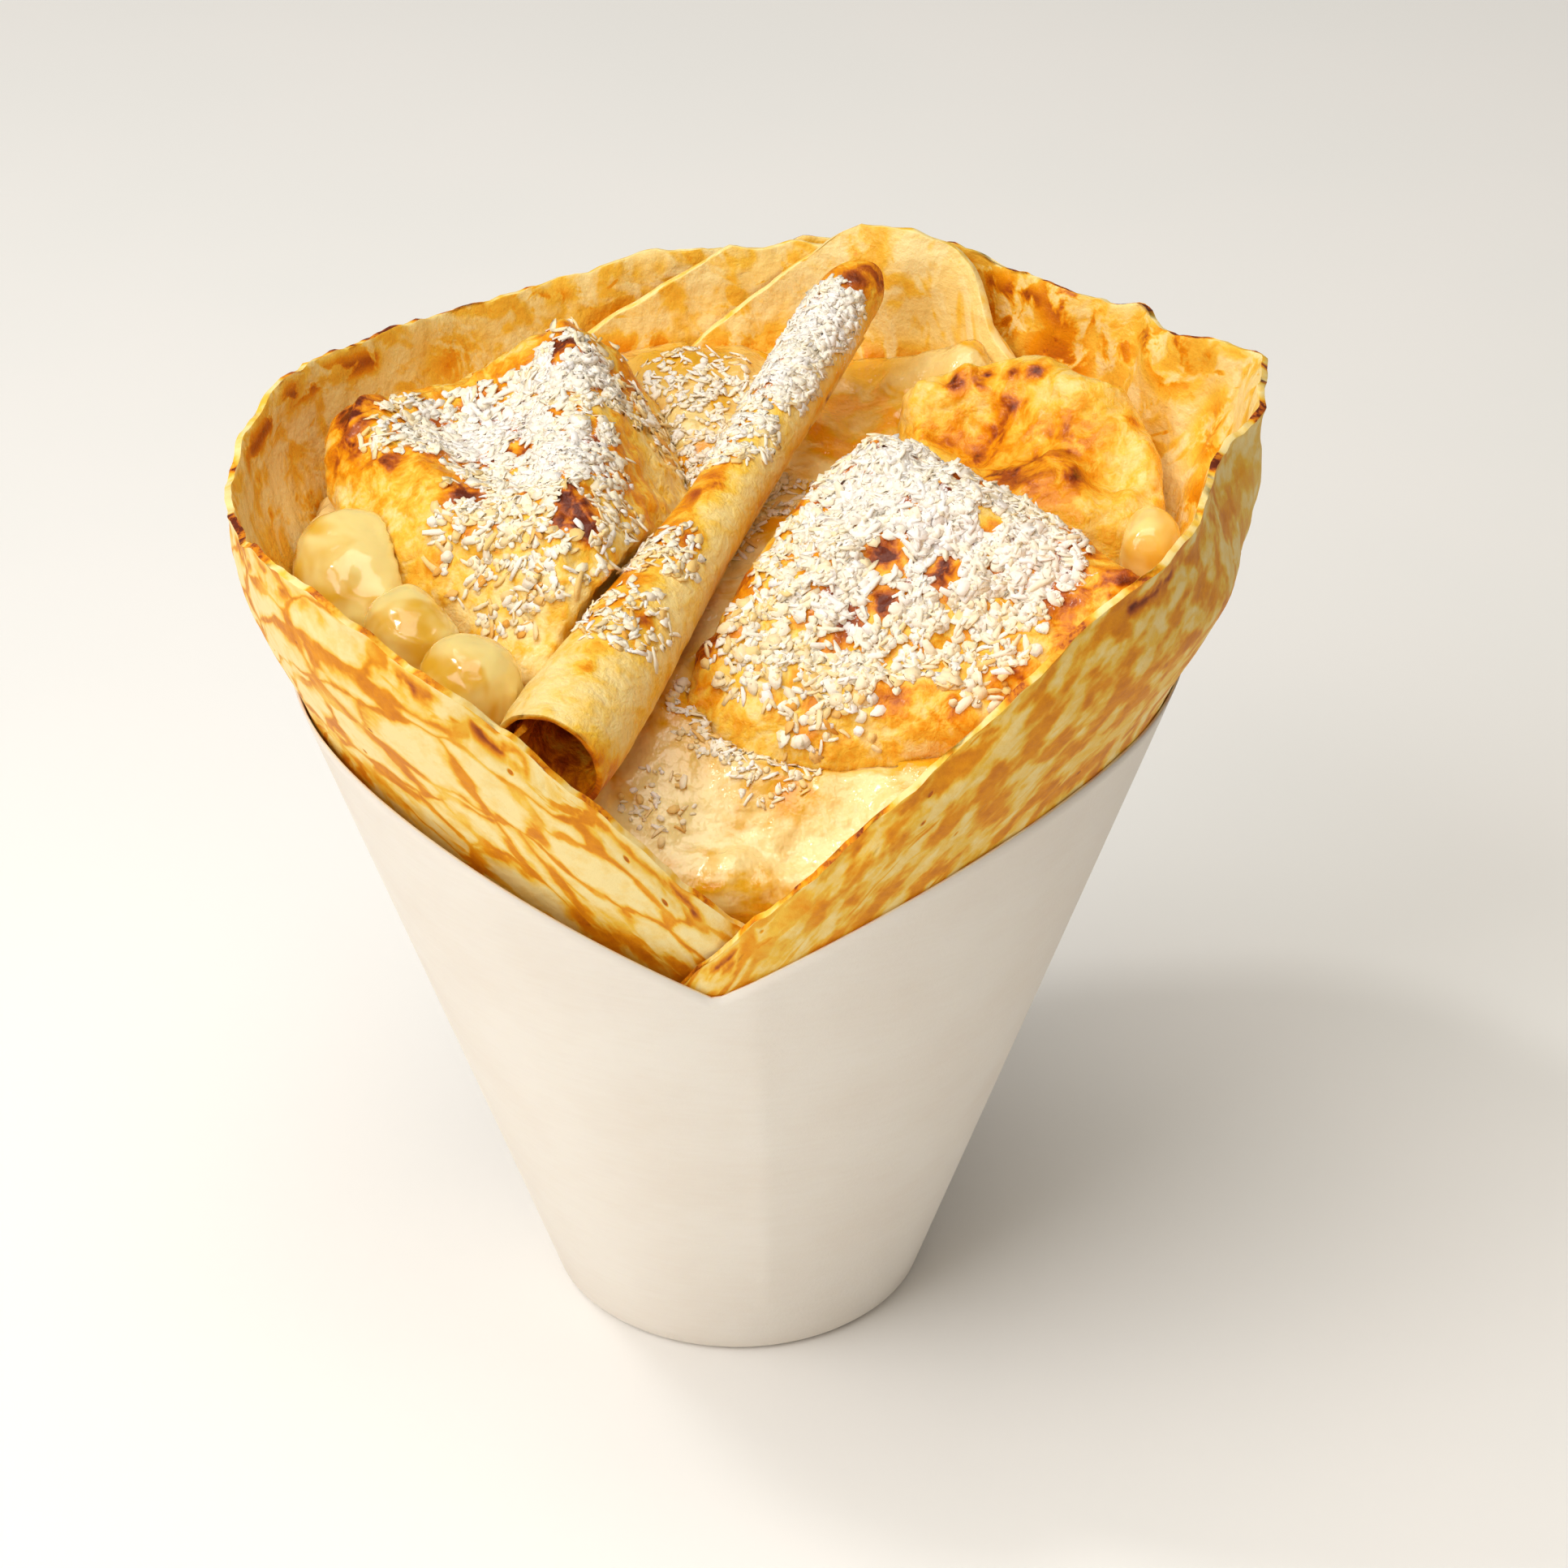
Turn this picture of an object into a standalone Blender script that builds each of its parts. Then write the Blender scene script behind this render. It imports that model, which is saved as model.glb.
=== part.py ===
"""Rolled crepe in a paper cone.

A thin crepe is rolled into a cone whose two flaps cross low at the front. It is filled with
cream and soft fruit, topped with two folded crepes, a crepe roll and a curled crepe, all
strewn with coconut flakes, and held in a flat-bottomed paper cone. The origin is the middle
of the paper's flat base, +Z is up and the front, where the flaps cross, faces -Y.

Sizes and angles are millimetres and degrees; MM turns them to metres where a mesh is made.
An angle about the cone is 0 at the front and negative to the left. Along the crepe it runs on
past -180, from the flap that lies inside at the front, round the back, to the outer flap.
"""
import math
import random

import bmesh
import bpy
from mathutils import Matrix, Vector, noise
from mathutils.bvhtree import BVHTree

MM = 0.001

# The cone that the paper and the crepe share
BASE_RADIUS = 21.7
WALL_SLOPE = 0.33
BASE_FILLET = 1.0
PAPER_THICKNESS = 0.5
CREPE_THICKNESS = 1.6
GAP = 0.35
LAP_GAP = 0.5
CLEARANCE = 0.4
CREPE_FLOOR = 4.0

# The paper's top edge, low in a V at the front
PAPER_V_ANGLE = -2.5
PAPER_V_HEIGHT = 66.0
PAPER_RISE_LEFT = 19.0
PAPER_RISE_RIGHT = 21.5
PAPER_RISE_SPAN = 62.0

# The crepe's rim: angle along the sheet, height. Its first and last points lie hidden
RIM = (
    (24, 54), (6, 72), (-1, 77.5), (-14, 90), (-24, 99.5), (-36, 107), (-54, 113), (-75, 108.5),
    (-92, 105), (-108, 107), (-148, 103.5), (-168, 106), (-185, 106.5), (-200, 108.5), (-222, 108.5),
    (-245, 110.5), (-268, 115.5), (-310, 117), (-322, 112), (-338, 97.5), (-351, 84), (-366, 68.5),
    (-384, 50),
)
FLAP_SPARE = 8.0
# How far the hidden flap lies inside the other, fully so from one angle and not at all by another
LAP_NONE = -80.0
LAP_FULL = -30.0
RIM_RAGGED = 0.9
# Notches in the rim: how many a degree, where their pattern starts, share of the depth
RIM_NOTCHES = ((0.11, 3.1, 1.0), (0.27, 7.7, 0.6))
RIM_WAVE = 0.8
RIM_WAVES = 7
RIM_WAVE_START = 40.0
CRUMPLE = 1.3
CRUMPLES = 17
CRUMPLE_ANGLE = 122.0
CRUMPLE_SPAN = 38.0
CRUMPLE_LEAN = 5.0
# Above the paper the wall is free to belly out, fully so this much higher
FREE_FROM = 1.5
FREE_HEIGHT = 20.0
BULGE = 1.8
RIM_IN = 0.3
# Where the rim leans in: angle, how far (outwards negative), span
LEANS = ((70, 4.8, 18), (98, -2.2, 14), (-68, -1.2, 12))
LEAN_FROM = 102.0
LEAN_HEIGHT = 14.0

# Crepe layers that show against the back wall: angle of the free edge at its foot and top,
# far angle, rim height
BACK_LAYERS = {
    "crepe_layer_outer": (-137, -179, -232, 107.5),
    "crepe_layer_inner": (-160, -196, -224, 111.5),
}
LAYER_THICKNESS = 1.4
LAYER_GAP = 0.8
LAYER_FOOT = 88.0
LAYER_DROP = 11.0
LAYER_RAGGED = 0.8

# How far the cream stays off the wall, and its top along Y, and its mounds: x, y, height, spread
CREAM_INSET = 0.95
CREAM_PROFILE = ((-46, 78), (-38, 79.5), (-30, 85), (-18, 90), (0, 93), (20, 94.5), (46, 96))
CREAM_MOUNDS = (
    (-4, 35, 5.0, 9), (27, 38, 6.5, 7), (-22, -33, 5.0, 8), (-32, -18, 1.5, 9), (20, -33, 2.0, 8),
)

# The roll that lies across the middle, wide and slanted at its open low end
ROLL_LOW = Vector((-19.2, -38.5, 92.6))
ROLL_HIGH = Vector((12.8, 37.0, 107.5))
ROLL_RADIUS_LOW = 7.5
ROLL_RADIUS_HIGH = 4.7
ROLL_THICKNESS = 1.3
ROLL_TURNS = 1.45
ROLL_START = -65.0
ROLL_SLANT = 1.0
ROLL_SLANT_ANGLE = 125.0
ROLL_TIP = 4.5
ROLL_TIP_ANGLE = 60.0
ROLL_SAG = 1.2
# The share of a turn that lies outermost before the sheet spirals in under it
ROLL_OUTER_TURN = 0.12

# Folded crepes. Middle and outline in plan; crest, the corners of the crepe stretched over the
# top; how far it sags between them and how steeply it falls outside them; foot, where the
# slope ends; floor, its flat underside; bumps, as x, y, height, spread
FOLDS = {
    "crepe_fold_right": {
        "middle": (20, -12),
        "outline": (
            (17, 12), (32, -1), (46, -14), (43, -20), (34, -25.5), (25, -28.5), (13, -29), (1, -26.5),
            (-5, -20), (0.5, -7), (7, 4),
        ),
        "crest": (
            (16.5, 7, 107), (31, -5, 105.5), (43, -15, 102.5), (34, -20.5, 99), (22.5, -23, 95.5),
            (6, -21.5, 93.5), (-0.5, -15, 96), (7, -2, 102),
        ),
        "sag": -2.5, "fall": 1.4, "foot": 86.0, "floor": 80.0,
        "bumps": ((22, -6, 1.2, 5), (10, -14, 1.0, 4), (31, -14, -1.0, 4)),
    },
    "crepe_fold_left": {
        "middle": (-24, 10),
        "outline": (
            (-46, 20), (-37, 30), (-20, 37), (-8, 32), (-5, 19), (-8, 2), (-10, -12), (-15, -22),
            (-22, -25), (-27, -16), (-33, -10), (-39, -6), (-44, 5),
        ),
        "crest": (
            (-43.5, 19, 104.5), (-32, 25.5, 103.5), (-19.5, 30, 109.5), (-17, 12, 108),
            (-17, -7.5, 106.5), (-31, -1, 105),
        ),
        "sag": 3.2, "fall": 1.35, "foot": 93.0, "floor": 88.0,
        "bumps": ((-19, -17, 4.0, 5.5), (-18, -7, 1.0, 3), (-43, 19, 1.2, 3), (-20, 29, 1.0, 3.5)),
    },
    "crepe_curl": {
        "middle": (36, 15),
        "outline": (
            (19, 31), (28, 34.5), (38, 30), (46.5, 19.5), (49, 11), (47.5, 4), (38, 1), (28, 8),
            (20, 20),
        ),
        "crest": (
            (22.5, 28.5, 103), (33, 27, 106.5), (42, 21, 106), (46.5, 13, 101.5), (43.5, 6, 98.5),
            (36, 5, 98), (28, 13, 98.5), (22.5, 21, 99),
        ),
        "sag": 1.5, "fall": 1.6, "foot": 92.0, "floor": 86.0,
        "bumps": ((28, 20, -3.5, 4.5), (36.5, 9, 3.5, 4.5), (42.5, 11, -3.0, 2.5), (36, 19, 1.5, 4)),
    },
}
RIM_BLUNT = 3.0
# The folds' rings: share of the outline, how far below the top they lie
FOLD_SIDE = ((0.98, 4.0), (1.0, 2.2), (0.97, 0.6))
FOLD_TOP = (0.87, 0.72, 0.56, 0.4, 0.24, 0.09)

# Soft fruit pieces: middle, half lengths, turn and tilt
FRUIT = {
    "fruit_piece_1": (Vector((-42.0, -4.5, 95.5)), Vector((6.6, 8.6, 5.2)), 10, 20),
    "fruit_piece_2": (Vector((-35.0, -17.0, 95.0)), Vector((4.8, 6.2, 5.2)), 35, 12),
    "fruit_piece_3": (Vector((-28.3, -25.0, 93.5)), Vector((5.6, 5.8, 6.0)), 30, 10),
    "fruit_piece_4": (Vector((46.0, -2.0, 97.0)), Vector((3.4, 4.8, 5.0)), -8, 0),
}

# Coconut flakes: how many, and discs (x, y, radius) that they are strewn over
FLAKE_SIZE = (2.3, 1.0, 0.7)
FLAKES = {
    "crepe_fold_left": (24, ((-28, 17, 11), (-19, 22, 9), (-19, 3, 9), (-13, -6, 5))),
    "crepe_fold_right": (36, ((17, 3, 9), (22, -10, 14), (33, -13, 8), (10, -22, 9))),
    "crepe_roll": (8, ((8, 24, 9), (-3, 6, 7), (-10, -12, 6))),
    "cream": (8, ((-4, 33, 8), (1, -34, 6), (-12, 8, 9))),
}
FLAKE_CLEARANCE = 1.9
FLAKE_SPACING = 1.95
FLAKE_TILT = 0.3
FLAKE_RISE = 0.12
FLAKE_STEEPEST = 0.5

# Colours as the eye sees them, sRGB, with roughness
COLOURS = {
    "paper_cone": ((0.93, 0.89, 0.83), 0.85),
    "crepe_wrap": ((0.95, 0.82, 0.55), 0.55),
    "crepe_layer": ((0.96, 0.80, 0.46), 0.55),
    "crepe_roll": ((0.94, 0.77, 0.47), 0.5),
    "crepe_fold": ((0.93, 0.74, 0.46), 0.55),
    "crepe_curl": ((0.92, 0.66, 0.28), 0.5),
    "cream": ((0.95, 0.88, 0.60), 0.3),
    "fruit_piece": ((0.92, 0.82, 0.45), 0.28),
}


def clear_scene():
    for obj in list(bpy.data.objects):
        bpy.data.objects.remove(obj, do_unlink=True)


def collection(name, hidden=False):
    made = bpy.data.collections.new(name)
    made.hide_render = hidden
    bpy.context.scene.collection.children.link(made)
    return made


def linear(channel):
    return channel / 12.92 if channel <= 0.04045 else ((channel + 0.055) / 1.055) ** 2.4


def finish_of(name):
    """The material for an object, shared by the pieces whose names begin alike."""
    key = next(k for k in COLOURS if name.startswith(k))
    found = bpy.data.materials.get(key)
    if found:
        return found
    colour, roughness = COLOURS[key]
    made = bpy.data.materials.new(key)
    made.use_nodes = True
    shader = made.node_tree.nodes["Principled BSDF"]
    shader.inputs["Base Color"].default_value = (*map(linear, colour), 1.0)
    shader.inputs["Roughness"].default_value = roughness
    shader.inputs["Metallic"].default_value = 0.0
    return made


def ease(t):
    """0 below 0, 1 above 1, and a smooth rise between."""
    t = min(max(t, 0.0), 1.0)
    return t * t * (3 - 2 * t)


def along(points, x):
    """The smooth curve through points (x, y), read at x; level beyond its ends."""
    points = sorted(points)
    if x <= points[0][0]:
        return points[0][1]
    for i in range(len(points) - 1):
        (x0, y0), (x1, y1) = points[i], points[i + 1]
        if x > x1:
            continue
        before = points[max(i - 1, 0)]
        after = points[min(i + 2, len(points) - 1)]
        slope0 = (y1 - before[1]) / max(x1 - before[0], 1e-6)
        slope1 = (after[1] - y0) / max(after[0] - x0, 1e-6)
        step = x1 - x0
        t = (x - x0) / step
        return (
            (2 * t**3 - 3 * t**2 + 1) * y0
            + (t**3 - 2 * t**2 + t) * step * slope0
            + (3 * t**2 - 2 * t**3) * y1
            + (t**3 - t**2) * step * slope1
        )
    return points[-1][1]


def wrapped(angle):
    """The same direction between -180 and 180."""
    return (angle + 180) % 360 - 180


def polar(angle, radius, height):
    a = math.radians(angle)
    return Vector((radius * math.sin(a), -radius * math.cos(a), height))


def cone_radius(height):
    return BASE_RADIUS + WALL_SLOPE * height


def paper_top(angle):
    from_v = wrapped(angle - PAPER_V_ANGLE)
    rise = PAPER_RISE_LEFT if from_v < 0 else PAPER_RISE_RIGHT
    back = ease((abs(from_v) - 100) / 80)
    rise += (0.5 * (PAPER_RISE_LEFT + PAPER_RISE_RIGHT) - rise) * back
    return PAPER_V_HEIGHT + rise * math.sin(math.radians(90 * min(abs(from_v) / PAPER_RISE_SPAN, 1)))


def rim_height(angle):
    """The crepe's ragged rim, at an angle along the sheet."""
    ragged = sum(share * noise.noise(Vector((angle * each, at, 0))) for each, at, share in RIM_NOTCHES)
    return along(RIM, angle) + RIM_RAGGED * ragged


def crepe_shift(angle, height):
    """How far the wall stands out from the plain cone above the paper, outwards positive."""
    direction = wrapped(angle)
    free = ease((height - paper_top(direction) - FREE_FROM) / FREE_HEIGHT)
    wave = RIM_WAVE * math.sin(math.radians(direction * RIM_WAVES + RIM_WAVE_START))
    crumple = math.exp(-(((direction - CRUMPLE_ANGLE) / CRUMPLE_SPAN) ** 2))
    turn = direction * CRUMPLES + CRUMPLE_LEAN * (height - 90)
    wave += CRUMPLE * crumple * math.sin(math.radians(turn))
    lean = sum(much * math.exp(-(((direction - at) / span) ** 2)) for at, much, span in LEANS)
    lean *= ease((height - LEAN_FROM) / LEAN_HEIGHT)
    below_rim = ease((rim_height(angle) - height) / LEAN_HEIGHT)
    belly = BULGE * below_rim - RIM_IN * (1 - below_rim)
    front = 1 - math.exp(-((direction / 40) ** 2))
    return free * front * (wave + belly - lean)


def lap_depth(angle):
    """The flap that begins the sheet lies one thickness inside the other."""
    return (CREPE_THICKNESS + LAP_GAP) * ease((angle - LAP_NONE) / (LAP_FULL - LAP_NONE))


def crepe_middle(angle, height, inside=0.0):
    """A point in the middle of the crepe's thickness, or that far inside it."""
    inset = PAPER_THICKNESS + GAP + CREPE_THICKNESS / 2 + lap_depth(angle) + inside
    radius = cone_radius(height) - inset + crepe_shift(angle, height)
    return polar(angle, radius, height)


def inner_radius(angle, height):
    """The radius of the wrap's innermost surface in a direction."""
    direction = wrapped(angle)
    sheet = direction if direction < RIM[0][0] + FLAP_SPARE else direction - 360
    return crepe_middle(sheet, height, CREPE_THICKNESS / 2).to_2d().length


def new_object(name, mesh, where):
    mesh.name = name
    obj = bpy.data.objects.new(name, mesh)
    where.objects.link(obj)
    return obj


def mesh_of(bm, name):
    """A mesh of triangles, so that a bent face is split alike wherever it is used."""
    bmesh.ops.triangulate(bm, faces=bm.faces[:])
    mesh = bpy.data.meshes.new(name)
    bm.to_mesh(mesh)
    bm.free()
    return mesh


def smooth(obj, angle=50):
    obj.data.shade_smooth()
    obj.data.set_sharp_from_angle(angle=math.radians(angle))


def sheet(name, columns, rows, place, thickness, where):
    """A grid whose points are set by place(u, v), given its thickness."""
    bm = bmesh.new()
    bmesh.ops.create_grid(bm, x_segments=columns, y_segments=rows, size=0.5)
    for vertex in bm.verts:
        vertex.co = place(vertex.co.x + 0.5, vertex.co.y + 0.5) * MM
    obj = new_object(name, mesh_of(bm, name), where)
    wall = obj.modifiers.new("wall", "SOLIDIFY")
    wall.thickness = thickness * MM
    wall.offset = 0
    return obj


def ringed(name, segments, rings, where, closed=True):
    """A capped circle drawn out ring by ring, each ring set by ring(angle) in millimetres."""
    bm = bmesh.new()
    bmesh.ops.create_circle(bm, cap_ends=True, segments=segments, radius=1)
    loop = sorted(bm.verts, key=lambda v: math.atan2(v.co.x, -v.co.y))
    edges = bm.edges[:]
    for ring in rings:
        if ring is not rings[0]:
            drawn = bmesh.ops.extrude_edge_only(bm, edges=edges)["geom"]
            fresh = {v.co.to_tuple(): v for v in drawn if isinstance(v, bmesh.types.BMVert)}
            loop = [fresh[v.co.to_tuple()] for v in loop]
            edges = [e for e in drawn if isinstance(e, bmesh.types.BMEdge) and len(e.link_faces) == 1]
        for i, vertex in enumerate(loop):
            vertex.co = ring(360 * i / segments - 180) * MM
    if closed:
        bmesh.ops.contextual_create(bm, geom=edges)
    bmesh.ops.recalc_face_normals(bm, faces=bm.faces[:])
    return new_object(name, mesh_of(bm, name), where)


def applied(obj):
    """Gives the object its evaluated mesh as its own, with no modifiers left."""
    bpy.context.view_layer.update()
    graph = bpy.context.evaluated_depsgraph_get()
    bm = bmesh.new()
    bm.from_mesh(bpy.data.meshes.new_from_object(obj.evaluated_get(graph)))
    obj.modifiers.clear()
    obj.data = mesh_of(bm, obj.name)
    return obj


def clearance(obj, cutters):
    """A cutter that is the piece swollen by the gap that its neighbours keep to it."""
    cutter = new_object(f"{obj.name}_clearance", obj.data.copy(), cutters)
    cutter.hide_render = True
    cutter.display_type = "WIRE"
    swell = cutter.modifiers.new("gap", "DISPLACE")
    swell.strength = CLEARANCE * MM
    swell.mid_level = 0
    return cutter


def drop_scraps(obj):
    """Removes the loose crumbs that a cut leaves, all but the largest body."""
    bm = bmesh.new()
    bm.from_mesh(obj.data)
    waiting = set(bm.verts)
    bodies = []
    while waiting:
        reached = [waiting.pop()]
        for vertex in reached:
            beyond = {edge.other_vert(vertex) for edge in vertex.link_edges} & waiting
            waiting -= beyond
            reached.extend(beyond)
        bodies.append(reached)
    bodies.sort(key=len)
    for scrap in bodies[:-1]:
        bmesh.ops.delete(bm, geom=scrap, context="VERTS")
    obj.data = mesh_of(bm, obj.name)
    return obj


def cut(obj, clearances, solver="EXACT"):
    """Cuts the piece back to keep clear of its neighbours."""
    for cutter in clearances:
        away = obj.modifiers.new(cutter.name, "BOOLEAN")
        away.object = cutter
        away.operation = "DIFFERENCE"
        away.solver = solver
    return drop_scraps(applied(obj))


def paper_cone(where):
    rings = [
        lambda a: polar(a, BASE_RADIUS - BASE_FILLET, 0),
        lambda a: polar(a, cone_radius(0) - 0.35 * BASE_FILLET, 0.3 * BASE_FILLET),
        lambda a: polar(a, cone_radius(BASE_FILLET), BASE_FILLET),
    ]
    for share in (0.5, 1.0):
        rings.append(lambda a, s=share: polar(a, cone_radius(s * paper_top(a)), s * paper_top(a)))
    obj = ringed("paper_cone", 60, rings, where, closed=False)
    wall = obj.modifiers.new("paper", "SOLIDIFY")
    wall.thickness = PAPER_THICKNESS * MM
    wall.offset = -1
    wall.use_even_offset = True
    return applied(obj)


def crepe_wrap(where):
    start, end = RIM[0][0], RIM[-1][0]

    def place(u, v):
        angle = start + (end - start) * u
        rim = rim_height(angle)
        # a third of the rows stand in the paper and the rest above it, where the crepe waves
        held = min(paper_top(angle) + FREE_FROM, rim - 4)
        if v < 1 / 3:
            height = CREPE_FLOOR + (held - CREPE_FLOOR) * 3 * v
        else:
            height = held + (rim - held) * (3 * v - 1) / 2
        return crepe_middle(angle, height)

    return applied(sheet("crepe_wrap", 76, 6, place, CREPE_THICKNESS, where))


def back_layer(name, depth, where):
    foot_angle, top_angle, far_angle, rim = BACK_LAYERS[name]

    def place(u, v):
        near = foot_angle + (top_angle - foot_angle) * v
        angle = near + (far_angle - near) * u
        top = rim + LAYER_RAGGED * noise.noise(Vector((angle * 0.2, depth, 0)))
        top -= LAYER_DROP * ease(1.6 * u - 0.6)
        inside = (CREPE_THICKNESS + LAYER_THICKNESS) / 2 + LAYER_GAP + depth * (LAYER_THICKNESS + LAYER_GAP)
        height = LAYER_FOOT + (top - LAYER_FOOT) * v
        return crepe_middle(angle, height, inside)

    return applied(sheet(name, 12, 4, place, LAYER_THICKNESS, where))


def roll_frame():
    """Matrix whose Z runs along the roll from its low end, with Y as near up as can be."""
    axis = (ROLL_HIGH - ROLL_LOW).normalized()
    side = axis.cross(Vector((0, 0, 1))).normalized()
    up = side.cross(axis)
    return Matrix((side, up, axis)).transposed()


def roll_radius(share):
    return ROLL_RADIUS_LOW + (ROLL_RADIUS_HIGH - ROLL_RADIUS_LOW) * ease(share * 1.6)


def roll_point(local, share):
    """A point beside the roll's axis, which sags a little between its ends."""
    share = min(max(share, 0), 1)
    return ROLL_LOW + roll_frame() @ (local + Vector((0, -ROLL_SAG * math.sin(math.pi * share), 0)))


def crepe_roll(where):
    length = (ROLL_HIGH - ROLL_LOW).length

    def place(u, v):
        angle = math.radians(ROLL_START - 360 * ROLL_TURNS * u)
        # the first stretch lies outermost and the rest spirals in under it
        inward = (ROLL_THICKNESS + GAP) * max(0.0, u * ROLL_TURNS - ROLL_OUTER_TURN)
        radius = roll_radius(v) - ROLL_THICKNESS / 2 - inward
        # the open end is cut back a little at its upper left, and the top end runs out to a tip
        cut_back = 0.5 + 0.5 * math.cos(angle - math.radians(ROLL_SLANT_ANGLE))
        slant = ROLL_SLANT * cut_back * (1 - v) ** 3
        tip = ROLL_TIP * v**6 * max(0.0, math.cos(angle - math.radians(ROLL_TIP_ANGLE)))
        return roll_point(polar(math.degrees(angle) + 90, radius, length * v + slant + tip), v)

    return applied(sheet("crepe_roll", 26, 7, place, ROLL_THICKNESS, where))


def roll_envelope(cutters):
    """The roll's outside as one solid, for cutting its bed in what it lies on."""
    length = (ROLL_HIGH - ROLL_LOW).length

    def ring(share):
        def at(angle):
            radius = roll_radius(min(max(share, 0), 1)) * 1.03
            return roll_point(polar(angle, radius, length * share), share)
        return at

    shares = (-0.1, 0.0, 0.2, 0.4, 0.6, 0.8, 1.0, 1.1)
    obj = ringed("roll_envelope", 20, [ring(share) for share in shares], cutters)
    obj.hide_render = True
    obj.display_type = "WIRE"
    return obj


def outline_radius(corners, middle, angle):
    """How far the rounded footprint reaches from its middle in a direction."""
    reach = []
    for x, y in corners:
        arm = Vector((x - middle[0], y - middle[1]))
        reach.append((math.degrees(math.atan2(arm.x, -arm.y)), arm.length))
    reach += [(a - 360, r) for a, r in reach] + [(a + 360, r) for a, r in reach]
    return along(reach, angle)


def draped_height(fold, x, y):
    """The top of crepe stretched over its crest, sagging inside it and falling outside."""
    spot = Vector((x, y))
    crest = [Vector(corner) for corner in fold["crest"]]
    total = weights = 0.0
    away = math.inf
    outside = False
    for a, b in zip(crest, crest[1:] + crest[:1]):
        run = (b - a).to_2d()
        t = min(max((spot - a.to_2d()).dot(run) / run.length_squared, 0), 1)
        near = a.lerp(b, t)
        gap = (spot - near.to_2d()).length
        weight = 1 / (gap + 0.3) ** 2
        total += weight * near.z
        weights += weight
        away = min(away, gap)
        outside = outside or run.cross(spot - a.to_2d()) > 0
    height = total / weights
    if outside:
        height -= fold["fall"] * (math.hypot(away, RIM_BLUNT) - RIM_BLUNT)
        height = max(height, fold["foot"])
    else:
        height -= fold["sag"] * ease(away / 8)
    for bx, by, rise, spread in fold["bumps"]:
        height += rise * math.exp(-((x - bx) ** 2 + (y - by) ** 2) / spread**2)
    return height + 0.5 * noise.noise(Vector((x * 0.22, y * 0.22, fold["foot"])))


def crepe_fold(name, where):
    """A crepe folded to a soft parcel, flat beneath."""
    fold = FOLDS[name]
    middle = Vector((*fold["middle"], 0))

    def ring(share, drop=None):
        def at(angle):
            reach = outline_radius(fold["outline"], fold["middle"], angle) * share
            spot = polar(angle, reach, 0) + middle
            if drop is None:
                spot.z = fold["floor"]
            else:
                spot.z = draped_height(fold, spot.x, spot.y) - drop
            return spot
        return at

    rings = [ring(0.84)]
    rings += [ring(share, drop) for share, drop in FOLD_SIDE]
    rings += [ring(share, 0) for share in FOLD_TOP]
    return ringed(name, 30, rings, where)


def fruit_piece(name, where):
    """A soft slice of fruit, squared off a little so that it isn't a ball."""
    middle, half, turn, tilt = FRUIT[name]
    bm = bmesh.new()
    bmesh.ops.create_uvsphere(bm, u_segments=12, v_segments=8, radius=1)
    place = Matrix.Rotation(math.radians(turn), 4, "Z") @ Matrix.Rotation(math.radians(tilt), 4, "X")
    for vertex in bm.verts:
        spot = vertex.co.copy()
        swell = 1 + 0.1 * noise.noise(spot * 1.7 + middle)
        spot = Vector([math.copysign(abs(c) ** 0.8, c) for c in spot])
        spot = Vector([c * h for c, h in zip(spot * swell, half)])
        vertex.co = (middle + place @ spot) * MM
    return new_object(name, mesh_of(bm, name), where)


def cream_top(x, y):
    height = along(CREAM_PROFILE, y)
    for mx, my, rise, spread in CREAM_MOUNDS:
        height += rise * math.exp(-(((x - mx) ** 2 + (y - my) ** 2) / spread**2))
    return height + 0.6 * noise.noise(Vector((x * 0.16, y * 0.16, 1.3)))


def cream_edge(angle):
    """Where the cream's top meets the wrap in a direction."""
    height = 90.0
    for _ in range(8):
        radius = inner_radius(angle, height) - CREAM_INSET
        spot = polar(angle, radius, 0)
        height = cream_top(spot.x, spot.y)
    return radius, height


def cream(where):
    def wall(share):
        def ring(angle):
            _, top = cream_edge(angle)
            height = CREPE_FLOOR + (top - 1.5 - CREPE_FLOOR) * share
            return polar(angle, inner_radius(angle, height) - CREAM_INSET, height)
        return ring

    def top(share):
        def ring(angle):
            radius, _ = cream_edge(angle)
            spot = polar(angle, radius * share, 0)
            spot.z = cream_top(spot.x, spot.y)
            return spot
        return ring

    foot = PAPER_THICKNESS + GAP
    rings = [lambda a: polar(a, BASE_RADIUS - 6.5, foot), lambda a: polar(a, BASE_RADIUS - 4.5, CREPE_FLOOR)]
    rings += [wall(share) for share in (0.02, 0.55, 1.0)]
    rings += [top(share) for share in (0.97, 0.87, 0.75, 0.6, 0.45, 0.3, 0.12)]
    return ringed("cream", 40, rings, where)


def tree_of(obj):
    bm = bmesh.new()
    bm.from_mesh(obj.data)
    tree = BVHTree.FromBMesh(bm)
    bm.free()
    return tree


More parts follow.
